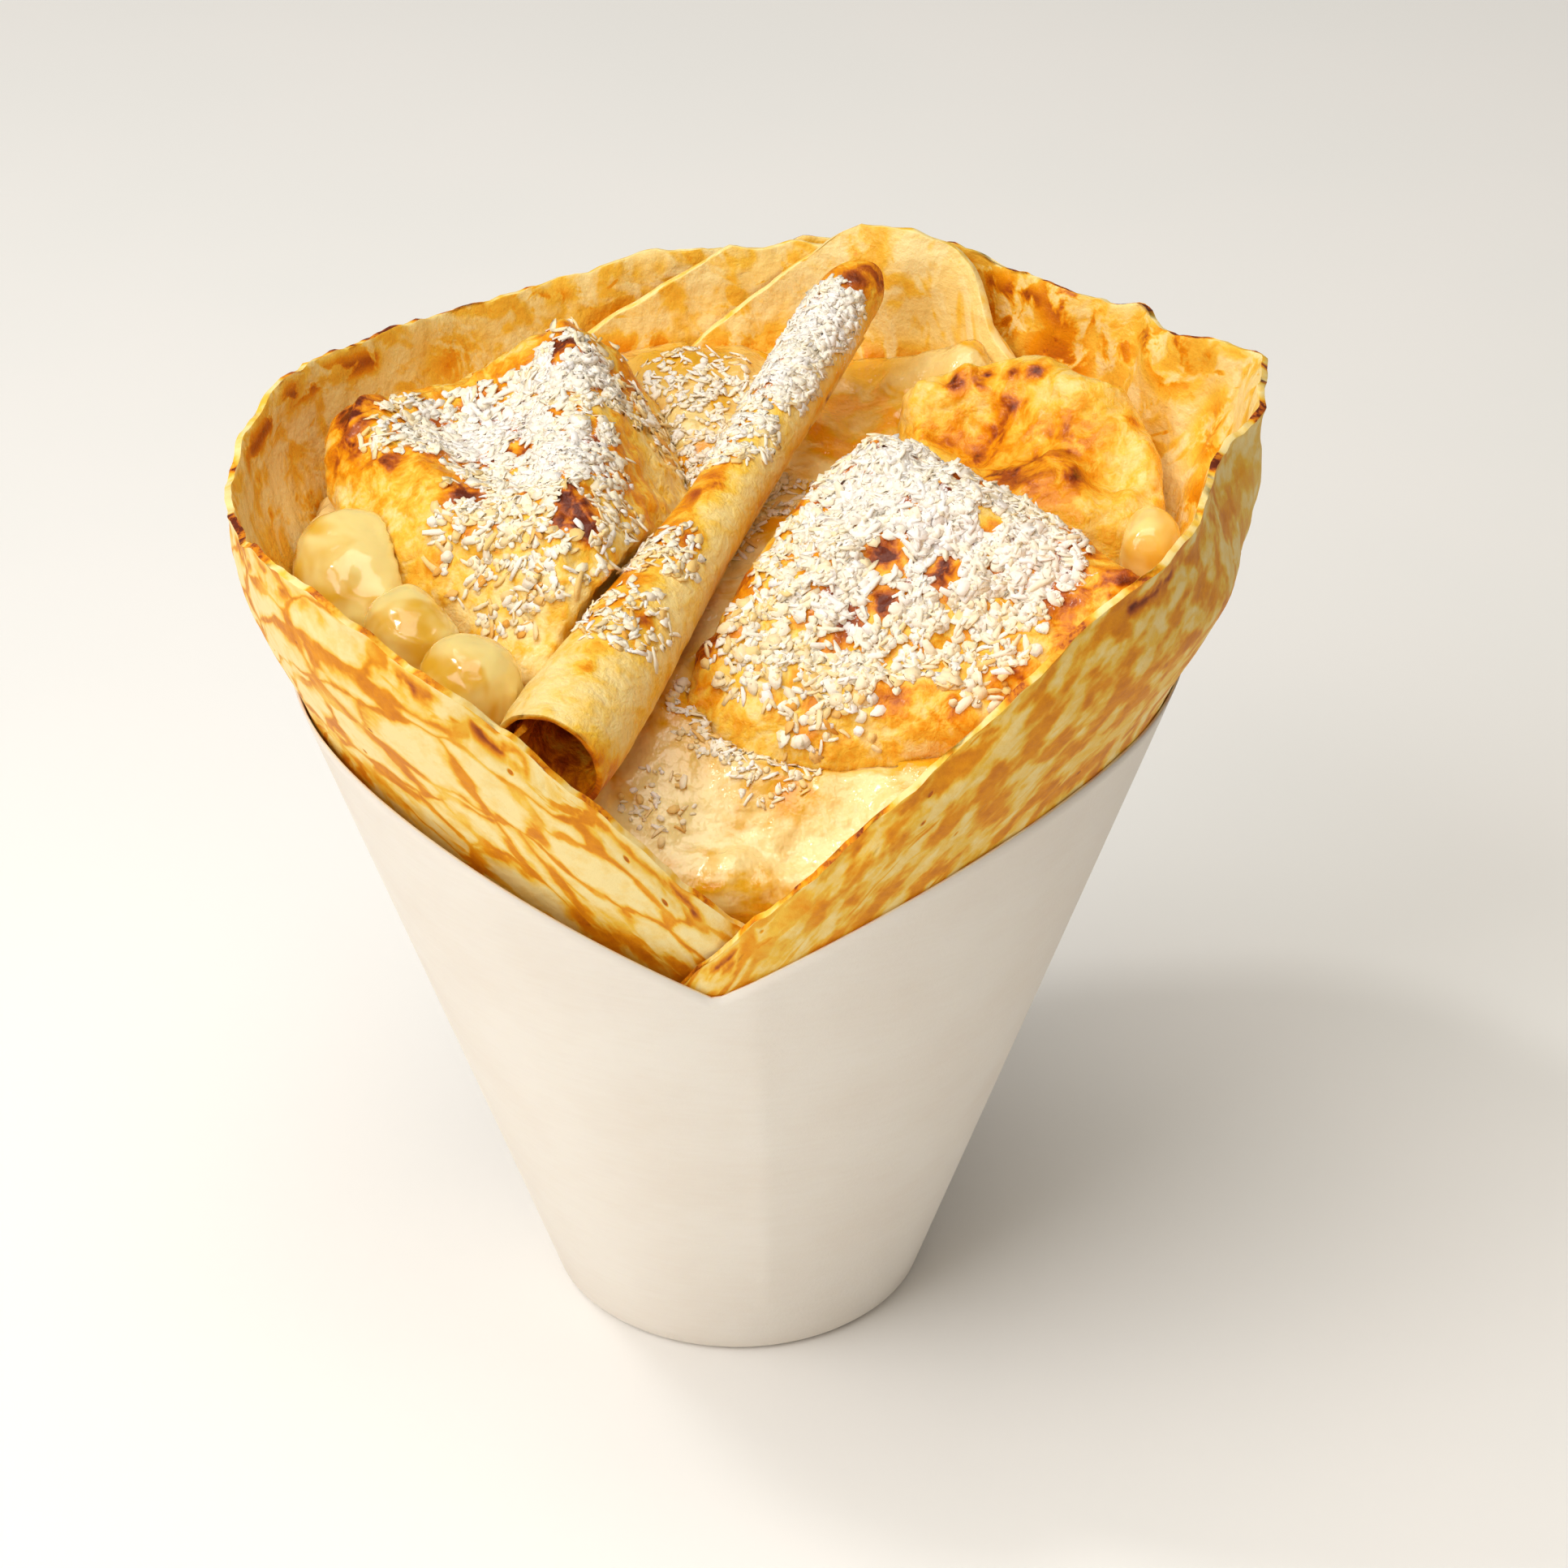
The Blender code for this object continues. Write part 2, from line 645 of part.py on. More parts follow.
def flake(spot, normal, draw):
    """One coconut flake as a bent strip, half sunk into the surface it lies on."""
    bm = bmesh.new()
    bmesh.ops.create_cube(bm, size=1)
    length, width, thickness = (s * draw.uniform(0.75, 1.2) for s in FLAKE_SIZE)
    for vertex in bm.verts:
        taper = 1 - 0.35 * (vertex.co.x > 0)
        vertex.co = Vector((vertex.co.x * length, vertex.co.y * width * taper, vertex.co.z * thickness))
    lie = normal.to_track_quat("Z", "X").to_matrix().to_4x4()
    spin = Matrix.Rotation(draw.uniform(0, math.tau), 4, "Z")
    tip = Matrix.Rotation(draw.uniform(-FLAKE_TILT, FLAKE_TILT), 4, "Y")
    rise = Matrix.Translation((0, 0, FLAKE_RISE))
    bmesh.ops.transform(bm, matrix=lie @ spin @ tip @ rise, verts=bm.verts)
    bmesh.ops.translate(bm, vec=spot, verts=bm.verts)
    bmesh.ops.scale(bm, vec=(MM, MM, MM), verts=bm.verts)
    return mesh_of(bm, "flake")


def strew(obj, others, seed):
    """Fuses coconut flakes to a piece, clear of its neighbours and of each other."""
    count, discs = FLAKES[obj.name]
    draw = random.Random(seed)
    ground = tree_of(obj)
    around = [tree_of(other) for other in others]
    flakes = bpy.data.collections.new(f"{obj.name}_flakes")
    laid = []
    weights = [radius**2 for _, _, radius in discs]
    for _ in range(count * 60):
        if len(laid) == count:
            break
        x, y, radius = draw.choices(discs, weights)[0]
        away = radius * math.sqrt(draw.random())
        spot = polar(draw.uniform(-180, 180), away, 0) + Vector((x, y, 140))
        hit, normal, _, _ = ground.ray_cast(spot * MM, Vector((0, 0, -1)))
        if hit is None or normal.z < FLAKE_STEEPEST:
            continue
        if any((hit - other).length < FLAKE_SPACING * MM for other in laid):
            continue
        if any(t.find_nearest(hit)[3] < FLAKE_CLEARANCE * MM for t in around):
            continue
        if any(t.ray_cast(hit + normal * MM, Vector((0, 0, 1)))[0] for t in around):
            continue
        laid.append(hit)
        new_object(f"flake_{len(laid)}", flake(hit / MM, normal, draw), flakes)
    bpy.context.scene.collection.children.link(flakes)
    join = obj.modifiers.new("flakes", "BOOLEAN")
    join.operand_type = "COLLECTION"
    join.collection = flakes
    join.operation = "UNION"
    join.solver = "MANIFOLD"
    applied(obj)
    for piece in list(flakes.objects):
        bpy.data.objects.remove(piece, do_unlink=True)
    bpy.data.collections.remove(flakes)


def main():
    clear_scene()
    food = collection("rolled_crepe")
    cutters = collection("cutters", hidden=True)

    paper = paper_cone(food)
    wrap = crepe_wrap(food)
    round_food = [clearance(wrap, cutters)]
    layers = []
    for depth, name in enumerate(BACK_LAYERS):
        layers.append(cut(back_layer(name, depth, food), round_food))
        round_food.append(clearance(layers[-1], cutters))
    roll = cut(crepe_roll(food), round_food)
    taken = [clearance(roll_envelope(cutters), cutters)]
    pieces = []
    for name in (*FOLDS, *FRUIT):
        piece = crepe_fold(name, food) if name in FOLDS else fruit_piece(name, food)
        room = clearance(piece, cutters)
        pieces.append(cut(piece, round_food + taken))
        taken.append(room)
    core = cut(cream(food), round_food[1:] + taken, "MANIFOLD")

    solids = [paper, wrap, *layers, roll, *pieces, core]
    for seed, obj in enumerate(piece for piece in solids if piece.name in FLAKES):
        strew(obj, [other for other in solids if other is not obj], seed)
    for obj in solids:
        obj.data.materials.clear()
        obj.data.materials.append(finish_of(obj.name))
        smooth(obj)
    bpy.context.view_layer.update()


main()
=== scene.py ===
"""Looks of a rolled crepe in its paper cone.

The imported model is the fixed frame. Each piece here stands for one of its solids and keeps its
form: the paper, the crepe wrapped as a cone, two layers against its back wall, a crepe roll, two
folded crepes, a curled one, cream, soft fruit, and the coconut flakes strewn on them.

Sizes are millimetres and angles degrees, MM turns them to metres. An angle about the cone is 0
at the front and negative to the left. Along the crepe it runs on past -180, from the flap that
lies inside at the front, round the back, to the outer flap.
"""
import math
import random

import bpy
import numpy as np
from mathutils import Matrix, Vector, noise
from mathutils.bvhtree import BVHTree


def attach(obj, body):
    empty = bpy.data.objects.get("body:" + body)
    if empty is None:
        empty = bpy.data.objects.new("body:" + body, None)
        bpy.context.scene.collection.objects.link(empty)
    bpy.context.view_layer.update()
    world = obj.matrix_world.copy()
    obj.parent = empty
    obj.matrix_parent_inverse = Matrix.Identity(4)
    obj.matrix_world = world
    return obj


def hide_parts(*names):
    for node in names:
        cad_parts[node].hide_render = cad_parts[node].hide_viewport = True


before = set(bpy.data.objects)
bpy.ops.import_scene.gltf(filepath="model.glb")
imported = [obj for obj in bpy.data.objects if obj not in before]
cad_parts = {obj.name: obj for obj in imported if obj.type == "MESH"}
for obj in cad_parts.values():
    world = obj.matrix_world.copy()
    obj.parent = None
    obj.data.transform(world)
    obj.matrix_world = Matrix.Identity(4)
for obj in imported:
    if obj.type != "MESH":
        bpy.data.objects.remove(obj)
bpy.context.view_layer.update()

bl_info = {
    "name": "Rolled Crepe",
    "version": (1, 0, 0),
    "blender": (4, 5, 0),
    "location": "3D View > Sidebar > Crepe",
    "description": "Finishes a rolled crepe in its paper cone around the packed model",
    "category": "Add Mesh",
}

MM = 0.001
BODY = "root"
# Millimetres of a sheet to one unit of its UV map
UV_SCALE = 100.0

# The cone that the paper and the crepe share, as in the solids
BASE_RADIUS = 21.7
WALL_SLOPE = 0.33
BASE_FILLET = 1.0
PAPER_THICKNESS = 0.5
CREPE_THICKNESS = 1.6
GAP = 0.35
LAP_GAP = 0.5
CREPE_FLOOR = 4.0
CREAM_FLOOR = 0.85
CREAM_SWELL = 0.8
CREAM_PRESS = -0.25

# The paper's top edge, low in a V at the front
PAPER_V_ANGLE = -2.5
PAPER_V_HEIGHT = 66.0
PAPER_RISE_LEFT = 19.0
PAPER_RISE_RIGHT = 21.5
PAPER_RISE_SPAN = 62.0

# The crepe's rim: angle along the sheet, height
RIM = (
    (24, 54), (6, 72), (-1, 77.5), (-14, 90), (-24, 99.5), (-36, 107), (-54, 113), (-75, 108.5),
    (-92, 105), (-108, 107), (-148, 103.5), (-168, 106), (-185, 106.5), (-200, 108.5), (-222, 108.5),
    (-245, 110.5), (-268, 115.5), (-310, 117), (-322, 112), (-338, 97.5), (-351, 84), (-366, 68.5),
    (-384, 50),
)
FLAP_SPARE = 8.0
RIM_REACH = 52.0
EDGE_TEETH = 0.55
EDGE_CURL = 0.9
WALL_DENTS = 1.1
WRAP_SNUG = 0.35
WRAP_SWELL = 0.5
EDGE_TAPER = 5.0
EDGE_THIN = 0.5
LAP_NONE = -80.0
LAP_FULL = -30.0
RIM_RAGGED = 0.9
RIM_NOTCHES = ((0.11, 3.1, 1.0), (0.27, 7.7, 0.6))
RIM_WAVE = 0.8
RIM_WAVES = 7
RIM_WAVE_START = 40.0
CRUMPLE = 1.3
CRUMPLES = 17
CRUMPLE_ANGLE = 122.0
CRUMPLE_SPAN = 38.0
CRUMPLE_LEAN = 5.0
FREE_FROM = 1.5
FREE_HEIGHT = 20.0
BULGE = 1.8
RIM_IN = 0.3
LEANS = ((70, 4.8, 18), (98, -2.2, 14), (-68, -1.2, 12))
LEAN_FROM = 102.0
LEAN_HEIGHT = 14.0

# Brown bands on the wrap: how far from the rim or the paper, how wide, how dark
RIM_BAND = (2.2, 1.7, 0.76)
FOOT_BAND = (0.0, 3.5, 0.54)
# How brown the right flap is, partly its own golden colour and partly painted shade of the side turned from
# the key light, and how much of the net is lost there and round the back
FLAP_BROWN_AND_SHADE = 0.46
FLAP_NET_LOST = 0.62
BACK_NET_LOST = 0.4

# Crepe layers against the back wall: angle of the free edge at its foot and top, far angle, rim
BACK_LAYERS = {
    "crepe_layer_outer": (-137, -179, -232, 107.5),
    "crepe_layer_inner": (-160, -196, -224, 111.5),
}
LAYER_THICKNESS = 1.4
LAYER_GAP = 0.8
LAYER_FOOT = 88.0
LAYER_DROP = 11.0
LAYER_RAGGED = 0.8
LAYER_REACH = 45.0
LAYER_APART = 130.0

# The roll that lies across the middle, wide and slanted at its open low end
ROLL_LOW = Vector((-19.2, -38.5, 92.6))
ROLL_HIGH = Vector((12.8, 37.0, 107.5))
ROLL_RADIUS_LOW = 7.5
ROLL_RADIUS_HIGH = 4.7
ROLL_THICKNESS = 1.3
ROLL_TURNS = 1.45
ROLL_START = -65.0
ROLL_SLANT = 1.0
ROLL_SLANT_ANGLE = 125.0
ROLL_TIP = 4.5
ROLL_TIP_ANGLE = 60.0
ROLL_SAG = 1.2
ROLL_OUTER_TURN = 0.12
ROLL_DENTS = 0.35
ROLL_RAGGED = 0.5

# Spots: place, how far round it, how dark. Mostly toast; on the cream also yellower patches, and painted
# shade in a groove and in the crevice along the roll, as on the right fold where it meets the roll
BROWNING_AND_SHADE_SPOTS = {
    "crepe_fold_left": (
        ((-43.5, 18, 105), 4.5, 0.9), ((-43.8, 12.5, 102.5), 3.5, 0.7), ((-19.2, 24, 109), 3.6, 0.88),
        ((-20, 18, 108), 3, 0.8), ((-23.5, 14.6, 104.5), 3, 0.7), ((-24.2, 8.2, 104), 3, 0.7),
        ((-17.4, -5.4, 107.5), 4, 0.9), ((-16.9, -9.9, 105.8), 3.4, 0.9), ((-29.7, -1.2, 105), 3.4, 0.7),
        ((-15, 3.5, 106.3), 3, 0.6), ((-27.3, -6.3, 103.5), 5, 0.3), ((-38.7, 7.9, 104), 4, 0.6),
        ((-31, -6, 102), 5, 0.2), ((-20, 29, 109), 4, 0.45), ((-12, 27, 102), 5, 0.4),
    ),
    "crepe_fold_right": (
        ((16.6, -11, 102.3), 2.6, 0.84), ((23.1, -14, 102), 2.6, 0.84), ((16.1, -16.1, 99.2), 2.4, 0.8),
        ((28, -9, 103.5), 2, 0.8),
        ((19, -12.5, 101.5), 3, 0.66), ((17, -26, 93.4), 4, 0.36), ((24, -26.5, 93.6), 3, 0.5),
        ((30, -25.5, 95), 4, 0.5), ((36.1, -20.5, 98.5), 4, 0.55), ((42, -15.5, 101), 4, 0.6),
        # these four spots, where the fold meets the roll, are painted shade in the crevice there: the three
        # on this line and the first on the next
        ((-2.5, -15, 93.5), 4, 0.62), ((-3.5, -20, 91), 3, 0.5), ((2, -8, 96.5), 4, 0.5),
        ((8, 0, 101), 4, 0.5), ((34.5, -14.7, 102), 3, 0.6), ((8, -24, 91), 6, 0.25),
    ),
    "crepe_roll": (
        ((-2.4, 3, 104), 2.4, 0.7), ((-0.6, 6, 104.6), 2.2, 0.6), ((-4.4, 1, 103.4), 2.4, 0.6),
        ((-5.6, -10.3, 102.5), 2.4, 0.55), ((-7.2, -7, 102.6), 2.6, 0.55), ((-4.6, -7.5, 102.6), 2, 0.7),
        ((-9.2, -21.9, 101), 1.8, 0.85), ((-10.2, -24.5, 100.6), 2.4, 0.5),
        ((-14.4, -27, 101.6), 2.8, 0.4), ((-15.6, -31, 100.8), 1.6, 0.5),
        ((-10.3, -14.5, 102.8), 3, 0.5), ((13.5, 37, 111.5), 3.6, 0.7),
        ((16, 40, 110), 4, 0.85), ((4, 19, 108), 3, 0.4),
    ),
    "crepe_curl": (
        ((31.8, 22.5, 102), 2.6, 0.64), ((30, 21, 99.5), 2.6, 0.6), ((28.1, 19.5, 97), 3.4, 0.64),
        ((33, 12, 100), 6.5, 0.6), ((23.5, 22, 98.5), 4, 0.42), ((37, 15, 101), 4, 0.58),
        ((30, 13, 98), 5, 0.62), ((25.4, 27, 102.6), 1.6, 0.8), ((28.5, 26.6, 103.8), 1.6, 0.85),
        ((31.5, 25.6, 104.8), 1.6, 0.8), ((34.3, 24.4, 105.4), 1.4, 0.75), ((45, 18, 103), 1.6, 0.5),
        ((38, 9, 101), 3, 0.6), ((28, 9, 98), 3, 0.55),
    ),
    "crepe_wrap": (
        ((26, 44, 107), 6, 0.7), ((31, 44, 104), 5, 0.76), ((38, 38, 107), 5, 0.76), ((37, 37, 100), 6, 0.7),
        ((43, 32, 104), 4, 0.74), ((49, 24, 108), 5, 0.72), ((46, 28, 97), 5, 0.6), ((-33, 41, 98), 5, 0.45),
        ((-47, 18, 92), 4, 0.7), ((-50, 4, 96), 3, 0.6), ((-52, -6, 95), 3, 0.6), ((54, 15, 103), 5, 0.62),
        ((-14, 50, 98), 6, 0.5), ((52, 8, 98), 6, 0.55), ((53, 2, 104), 3, 0.7), ((-42, 30, 106), 4, 0.45),
        ((-22, 46, 106), 4, 0.4), ((14, 50, 108), 5, 0.6),
    ),
    "cream": (
        # the first two spots are painted shade in a groove between the front mound and the right fold, and
        # the five from (-2, -16) to (14, 12) painted shade in the crevice along the roll's right side; the
        # others are yellower patches of the cream
        ((-2, -24, 87), 6, 0.5), ((8, -30, 86), 5, 0.4), ((-30, 0, 96), 9, 0.5), ((-6, 40, 98), 9, 0.7),
        ((16, 41, 96), 7, 0.65), ((20, 30, 98), 7, 0.6), ((-2, -16, 93), 4, 1), ((-5, -21, 91), 3, 0.95),
        ((3, -8, 96), 4, 0.95), ((9, 2, 99), 4, 0.8), ((14, 12, 101), 4, 0.7),
    ),
}
# Relief on each kind of piece: how wide its swellings are, and how deep
RELIEFS = {
    "crepe_wrap": ((5.0, 0.28), (1.5, 0.14)),
    "crepe_layer": ((4.0, 0.6),),
    "crepe_roll": ((2.6, 0.3),),
    "crepe_fold": ((6.0, 1.6), (2.2, 0.8)),
    "crepe_curl": ((6.5, 2.4), (3.0, 0.9)),
    "cream": ((7.0, 2.4), (2.6, 0.9)),
    "fruit": ((5.0, 0.8),),
}
# Fineness of the grids, across and down, and how often soft copies are smoothed
WRAP_GRID = (560, 66)
WRAP_HIDDEN_ROWS = 5
LAYER_GRID = (110, 50)
ROLL_GRID = (150, 150)
PAPER_SIDES = 240
PAPER_RINGS = 40
SMOOTHING = {"crepe_fold": 5, "crepe_curl": 4, "cream": 4, "fruit": 6}

# Coconut flakes: how many on each piece, their size, and discs (x, y, radius, share) they fall on
FLAKE_BEDS = {
    "crepe_fold_left": (
        3100,
        0.95,
        (
            (-28, 15, 10, 3.0), (-19, 20, 7, 2.6), (-19, 5, 8, 2.4), (-24, 0, 8, 1.6), (-36, 15, 7, 1.0),
            (-13, -6, 6, 0.8), (-14, 26, 8, 0.6), (-21, -10, 8, 1.5), (-28, -6, 6, 0.6),
            (-9, 22, 6, 0.5),
        ),
    ),
    "crepe_fold_right": (
        4500,
        1.0,
        (
            (16, 3, 8, 2.6), (22, -7, 12, 6.0), (31, -11, 8, 2.6), (10, -9, 8, 2.6), (14, -17, 9, 2.4),
            (26, -19, 8, 1.6), (3, -17, 6, 1.0), (9, -26, 7, 1.0),
        ),
    ),
    "crepe_roll": (
        2100,
        0.85,
        ((9, 29, 8, 3.0), (4, 21, 6, 1.6), (-1, 12, 6, 1.0), (-8, -9, 5, 0.3), (-12, -21, 6, 0.3)),
    ),
    "cream": (
        2000,
        0.68,
        (
            (-1, -22, 6, 1.2), (4, -27, 6, 0.9), (-7, 20, 8, 2.0), (-4, 32, 9, 1.8), (-3, 8, 6, 1.2),
            (-8, -33, 4, 0.2), (5, 14, 5, 0.5), (-6, -4, 4, 0.5),
        ),
    ),
}
# Where coconut dust lies thickest: place, how far round it, how thick
DUSTED = {
    "crepe_fold_left": (((-28, 15, 104), 11, 1.0), ((-19, 21, 108), 7, 1.0), ((-19, 4, 106), 9, 0.95)),
    "crepe_fold_right": (
        ((17, -1, 104), 11, 1.0), ((22, -9, 103), 12, 1.0), ((33, -13, 102), 9, 0.9), ((13, -15, 99), 8, 0.8),
    ),
    "crepe_roll": (((10, 29, 111), 10, 1.0), ((5, 21, 109), 8, 0.9), ((1, 13, 107), 6, 0.6)),
    "cream": (((-7, 20, 102), 10, 0.7), ((-4, 32, 99), 9, 0.6), ((0, -28, 87), 6, 0.4)),
}
# Toasted peaks that the flakes leave bare: place and radius
BARE = (
    ((16.6, -11.0), 2.8), ((23.1, -14.0), 2.6), ((16.1, -16.1), 2.4), ((28.0, -9.0), 1.8),
    ((-17.0, -7.5), 3.0), ((-29.7, -1.2), 2.2), ((-43.5, 18.0), 4.0), ((-19.4, 24.0), 2.0),
    ((-24.0, 8.5), 1.8),
)
# From long shreds to crumbs: how long and wide beside the usual flake
FLAKE_FORMS = ((1.15, 0.7), (0.9, 1.1), (0.75, 1.5), (0.6, 1.8), (0.45, 1.3), (0.3, 0.9))
# How flakes are made and strewn: rings across each, then roughness, bend, twist and tilt
FLAKE_VARIANTS = 36
FLAKE_SEED = 11
FLAKE_RINGS = 2
FLAKE_ROUGH = 0.07
FLAKE_BEND = 42.0
FLAKE_TWIST = 40.0
FLAKE_TILT = 9.0
FLAKE_HEAP = 0.32
FLAKE_CLEAR = 0.06
FLAKE_CLUMP = 1.5
FLAKE_TRIES = 20
DROP_FROM = 140.0

# Kinds of shader node, and settings that several share. A range's inputs 1 and 2 are where it
# begins and ends, and 3 and 4 what it gives there
NOISE = "ShaderNodeTexNoise"
CELLS = "ShaderNodeTexVoronoi"
RANGE = "ShaderNodeMapRange"
MATH = "ShaderNodeMath"
MAPPING = "ShaderNodeMapping"
SMOOTH = {"interpolation_type": "SMOOTHSTEP"}
SIZED = {"vector_type": "TEXTURE"}

# The camera looks 33 degrees down at the front, aimed 55 mm above the base
VIEW_DOWN = 33.0
VIEW_DISTANCE = 600.0
AIM_HEIGHT = 55.0
SIDE_STEP = 5.53
UP_STEP = 8.8
LENS = 119.3
SENSOR = 36.0

# Soft square lights: place, size, power and colour, in metres and watts
LIGHTS = {
    "key_light": ((-0.55, -0.42, 0.6), 0.7, 4.5, (1.0, 0.99, 0.97)),
    "top_light": ((-0.02, 0.0, 0.9), 0.6, 3.3, (1.0, 0.97, 0.9)),
    "glint_light": ((-0.35, 0.05, 0.75), 0.07, 0.9, (1.0, 0.98, 0.94)),
    "fill_light": ((-0.1, -0.6, 0.66), 0.5, 0.7, (1.0, 0.86, 0.64)),
}
LIT_HEIGHT = 0.08
AIR_COLOUR = (1.0, 0.93, 0.84, 1.0)
AIR_STRENGTH = 0.2
FLOOR_SIZE = 6.0


def colour(code):
    """Linear red, green and blue of an sRGB hex code."""
    parts = [int(code[i : i + 2], 16) / 255 for i in (0, 2, 4)]
    return tuple(c / 12.92 if c <= 0.04045 else ((c + 0.055) / 1.055) ** 2.4 for c in parts)


def length(name, description, millimetres):
    """A length that a user may change."""
    return bpy.props.FloatProperty(
        name=name, description=description, default=millimetres * MM, unit="LENGTH", precision=4
    )


def shade(name, description, code):
    """A colour that a user may change."""
    return bpy.props.FloatVectorProperty(
        name=name, description=description, default=colour(code), subtype="COLOR", size=3, min=0.0, max=1.0
    )


class CrepeSizes(bpy.types.PropertyGroup):
    """Sizes of the finish that a user would change."""

    paper: length("Paper", "Thickness of the paper cone's wall", 0.6 * PAPER_THICKNESS)
    crepe: length("Crepe", "Thickness of the crepe that is the cone", CREPE_THICKNESS)
    layer: length("Layer", "Thickness of a layer at the back", LAYER_THICKNESS)
    roll: length("Roll", "Thickness of the rolled crepe's sheet", ROLL_THICKNESS)
    grain: length("Mesh grain", "Distance between the fine meshes' points", 0.5)
    flake_length: length("Flake length", "Usual length of a coconut flake", 2.1)
    flake_width: length("Flake width", "Usual width of a coconut flake", 0.75)
    flake_depth: length("Flake thickness", "Usual thickness of a flake", 0.2)


class CrepeColours(bpy.types.PropertyGroup):
    """Colours of the finish that a user would change."""

    paper: shade("Paper", "Uncoated paper", "F6EEE3")
    batter: shade("Batter", "Crepe where the pan left it pale", "FEE6A2")
    golden: shade("Golden", "Crepe that is just cooked", "F8C644")
    amber: shade("Amber", "Crepe browned by the pan", "EE9A0C")
    caramel: shade("Caramel", "Crepe that begins to brown", "D97F0C")
    russet: shade("Russet", "Crepe browned well", "B05412")
    burnt: shade("Burnt", "The darkest peaks and edges", "68260A")
    cream: shade("Cream", "Cream filling", "FBE29C")
    butter: shade("Butter", "Yellower pools in the cream", "E6AC18")
    fruit: shade("Fruit", "Soft fruit flesh", "F8E090")
    fruit_deep: shade("Fruit, deep", "Riper flesh in the fruit", "E8B634")
    coconut: shade("Coconut", "Dry coconut flesh", "FDF8F5")
    floor: shade("Floor", "Plain studio floor", "FEFDFC")


def put(tree, kind, output, inputs=None, stops=None, **settings):
    """Adds a node with its settings and links, and returns one of its outputs.

    An input is a value, or an output of another node to link."""
    node = tree.nodes.new(kind)
    for name, value in settings.items():
        setattr(node, name, value)
    for key, value in (inputs or {}).items():
        if isinstance(value, bpy.types.NodeSocket):
            tree.links.new(value, node.inputs[key])
        else:
            node.inputs[key].default_value = value
    if stops:
        ramp = node.color_ramp.elements
        ramp[0].position, ramp[-1].position = stops[0][0], stops[-1][0]
        ramp[0].color, ramp[-1].color = (*stops[0][1], 1.0), (*stops[-1][1], 1.0)
        for place, tone in stops[1:-1]:
            ramp.new(place).color = (*tone, 1.0)
    return node.outputs[output]


def deselect():
    for obj in bpy.context.selected_objects:
        obj.select_set(False)


def activate(piece):
    deselect()
    piece.select_set(True)
    bpy.context.view_layer.objects.active = piece


def modify(piece, kind, **settings):
    """Adds a modifier with its settings and applies it."""
    activate(piece)
    modifier = piece.modifiers.new(kind.lower(), kind)
    for name, value in settings.items():
        setattr(modifier, name, value)
    bpy.ops.object.modifier_apply(modifier=modifier.name)


def relief(piece, kind):
    """Raises and sinks the surface by the soft patterns of its kind."""
    for size, depth in RELIEFS[kind]:
        pattern = bpy.data.textures.new(f"{piece.name}_relief", "CLOUDS")
        pattern.noise_scale = size * MM
        modify(piece, "DISPLACE", texture=pattern, strength=depth * MM, mid_level=0.5, texture_coords="LOCAL")


def points_of(piece):
    """The mesh's points in millimetres, one a row."""
    points = np.empty(len(piece.data.vertices) * 3, np.float32)
    piece.data.vertices.foreach_get("co", points)
    return points.reshape(-1, 3).astype(float) / MM


def place_points(piece, points):
    piece.data.vertices.foreach_set("co", (points * MM).astype(np.float32).ravel())
    piece.data.update()


def corners_of(piece):
    """Which point each face corner stands on."""
    corners = np.empty(len(piece.data.loops), np.int32)
    piece.data.loops.foreach_get("vertex_index", corners)
    return corners


def direction_of(points):
    """Each point's direction about the cone."""
    return np.degrees(np.arctan2(points[:, 0], -points[:, 1]))


def paint(piece, name, values):
    """Stores one number a point, which a material reads by name."""
    layer = piece.data.attributes.new(name, "FLOAT", "POINT")
    layer.data.foreach_set("value", np.clip(values, 0, 1).astype(np.float32))


def spotted(points, spots):
    """How strongly each point is covered by soft round spots."""
    strongest = np.zeros(len(points))
    for place, reach, strength in spots:
        away = np.linalg.norm(points - np.array(place), axis=1) / reach
        strongest = np.maximum(strongest, strength * np.exp(-(away**2)))
    return strongest


def unrolled_of(piece):
    """How far along the sheet and below its rim each point is, in millimetres."""
    corners = corners_of(piece)
    flat = np.empty(len(corners) * 2, np.float32)
    piece.data.uv_layers[0].data.foreach_get("uv", flat)
    unrolled = np.zeros((len(piece.data.vertices), 2))
    unrolled[corners] = flat.reshape(-1, 2) * UV_SCALE
    return unrolled[:, 0], unrolled[:, 1]


def nibbled(run):
    """Small bites and teeth in a crisp edge, at places along it in millimetres."""
    known, index = np.unique(np.round(run, 2), return_inverse=True)
    teeth = row_noise([(r * 0.22, 3.3, 0) for r in known])
    bites = row_noise([(r * 0.6, 8.1, 0) for r in known])
    return (teeth + 0.5 * bites)[index]


def burnt_edge(run, below):
    """Burnt on the teeth that stand out of the edge, and for a millimetre or so below it."""
    return ease((nibbled(run) + 0.04) / 0.3) * ease((3.0 - below) / 1.8)


def finish_piece(piece, slot, *nodes):
    """Shades the finished piece smooth, rides it on the part and hides the solids it stands for."""
    activate(piece)
    bpy.ops.object.shade_smooth()
    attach(piece, BODY)
    if nodes:
        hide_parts(*nodes)


def ease(t):
    """0 below 0, 1 above 1, and a smooth rise between."""
    t = np.clip(t, 0.0, 1.0)
    return t * t * (3 - 2 * t)


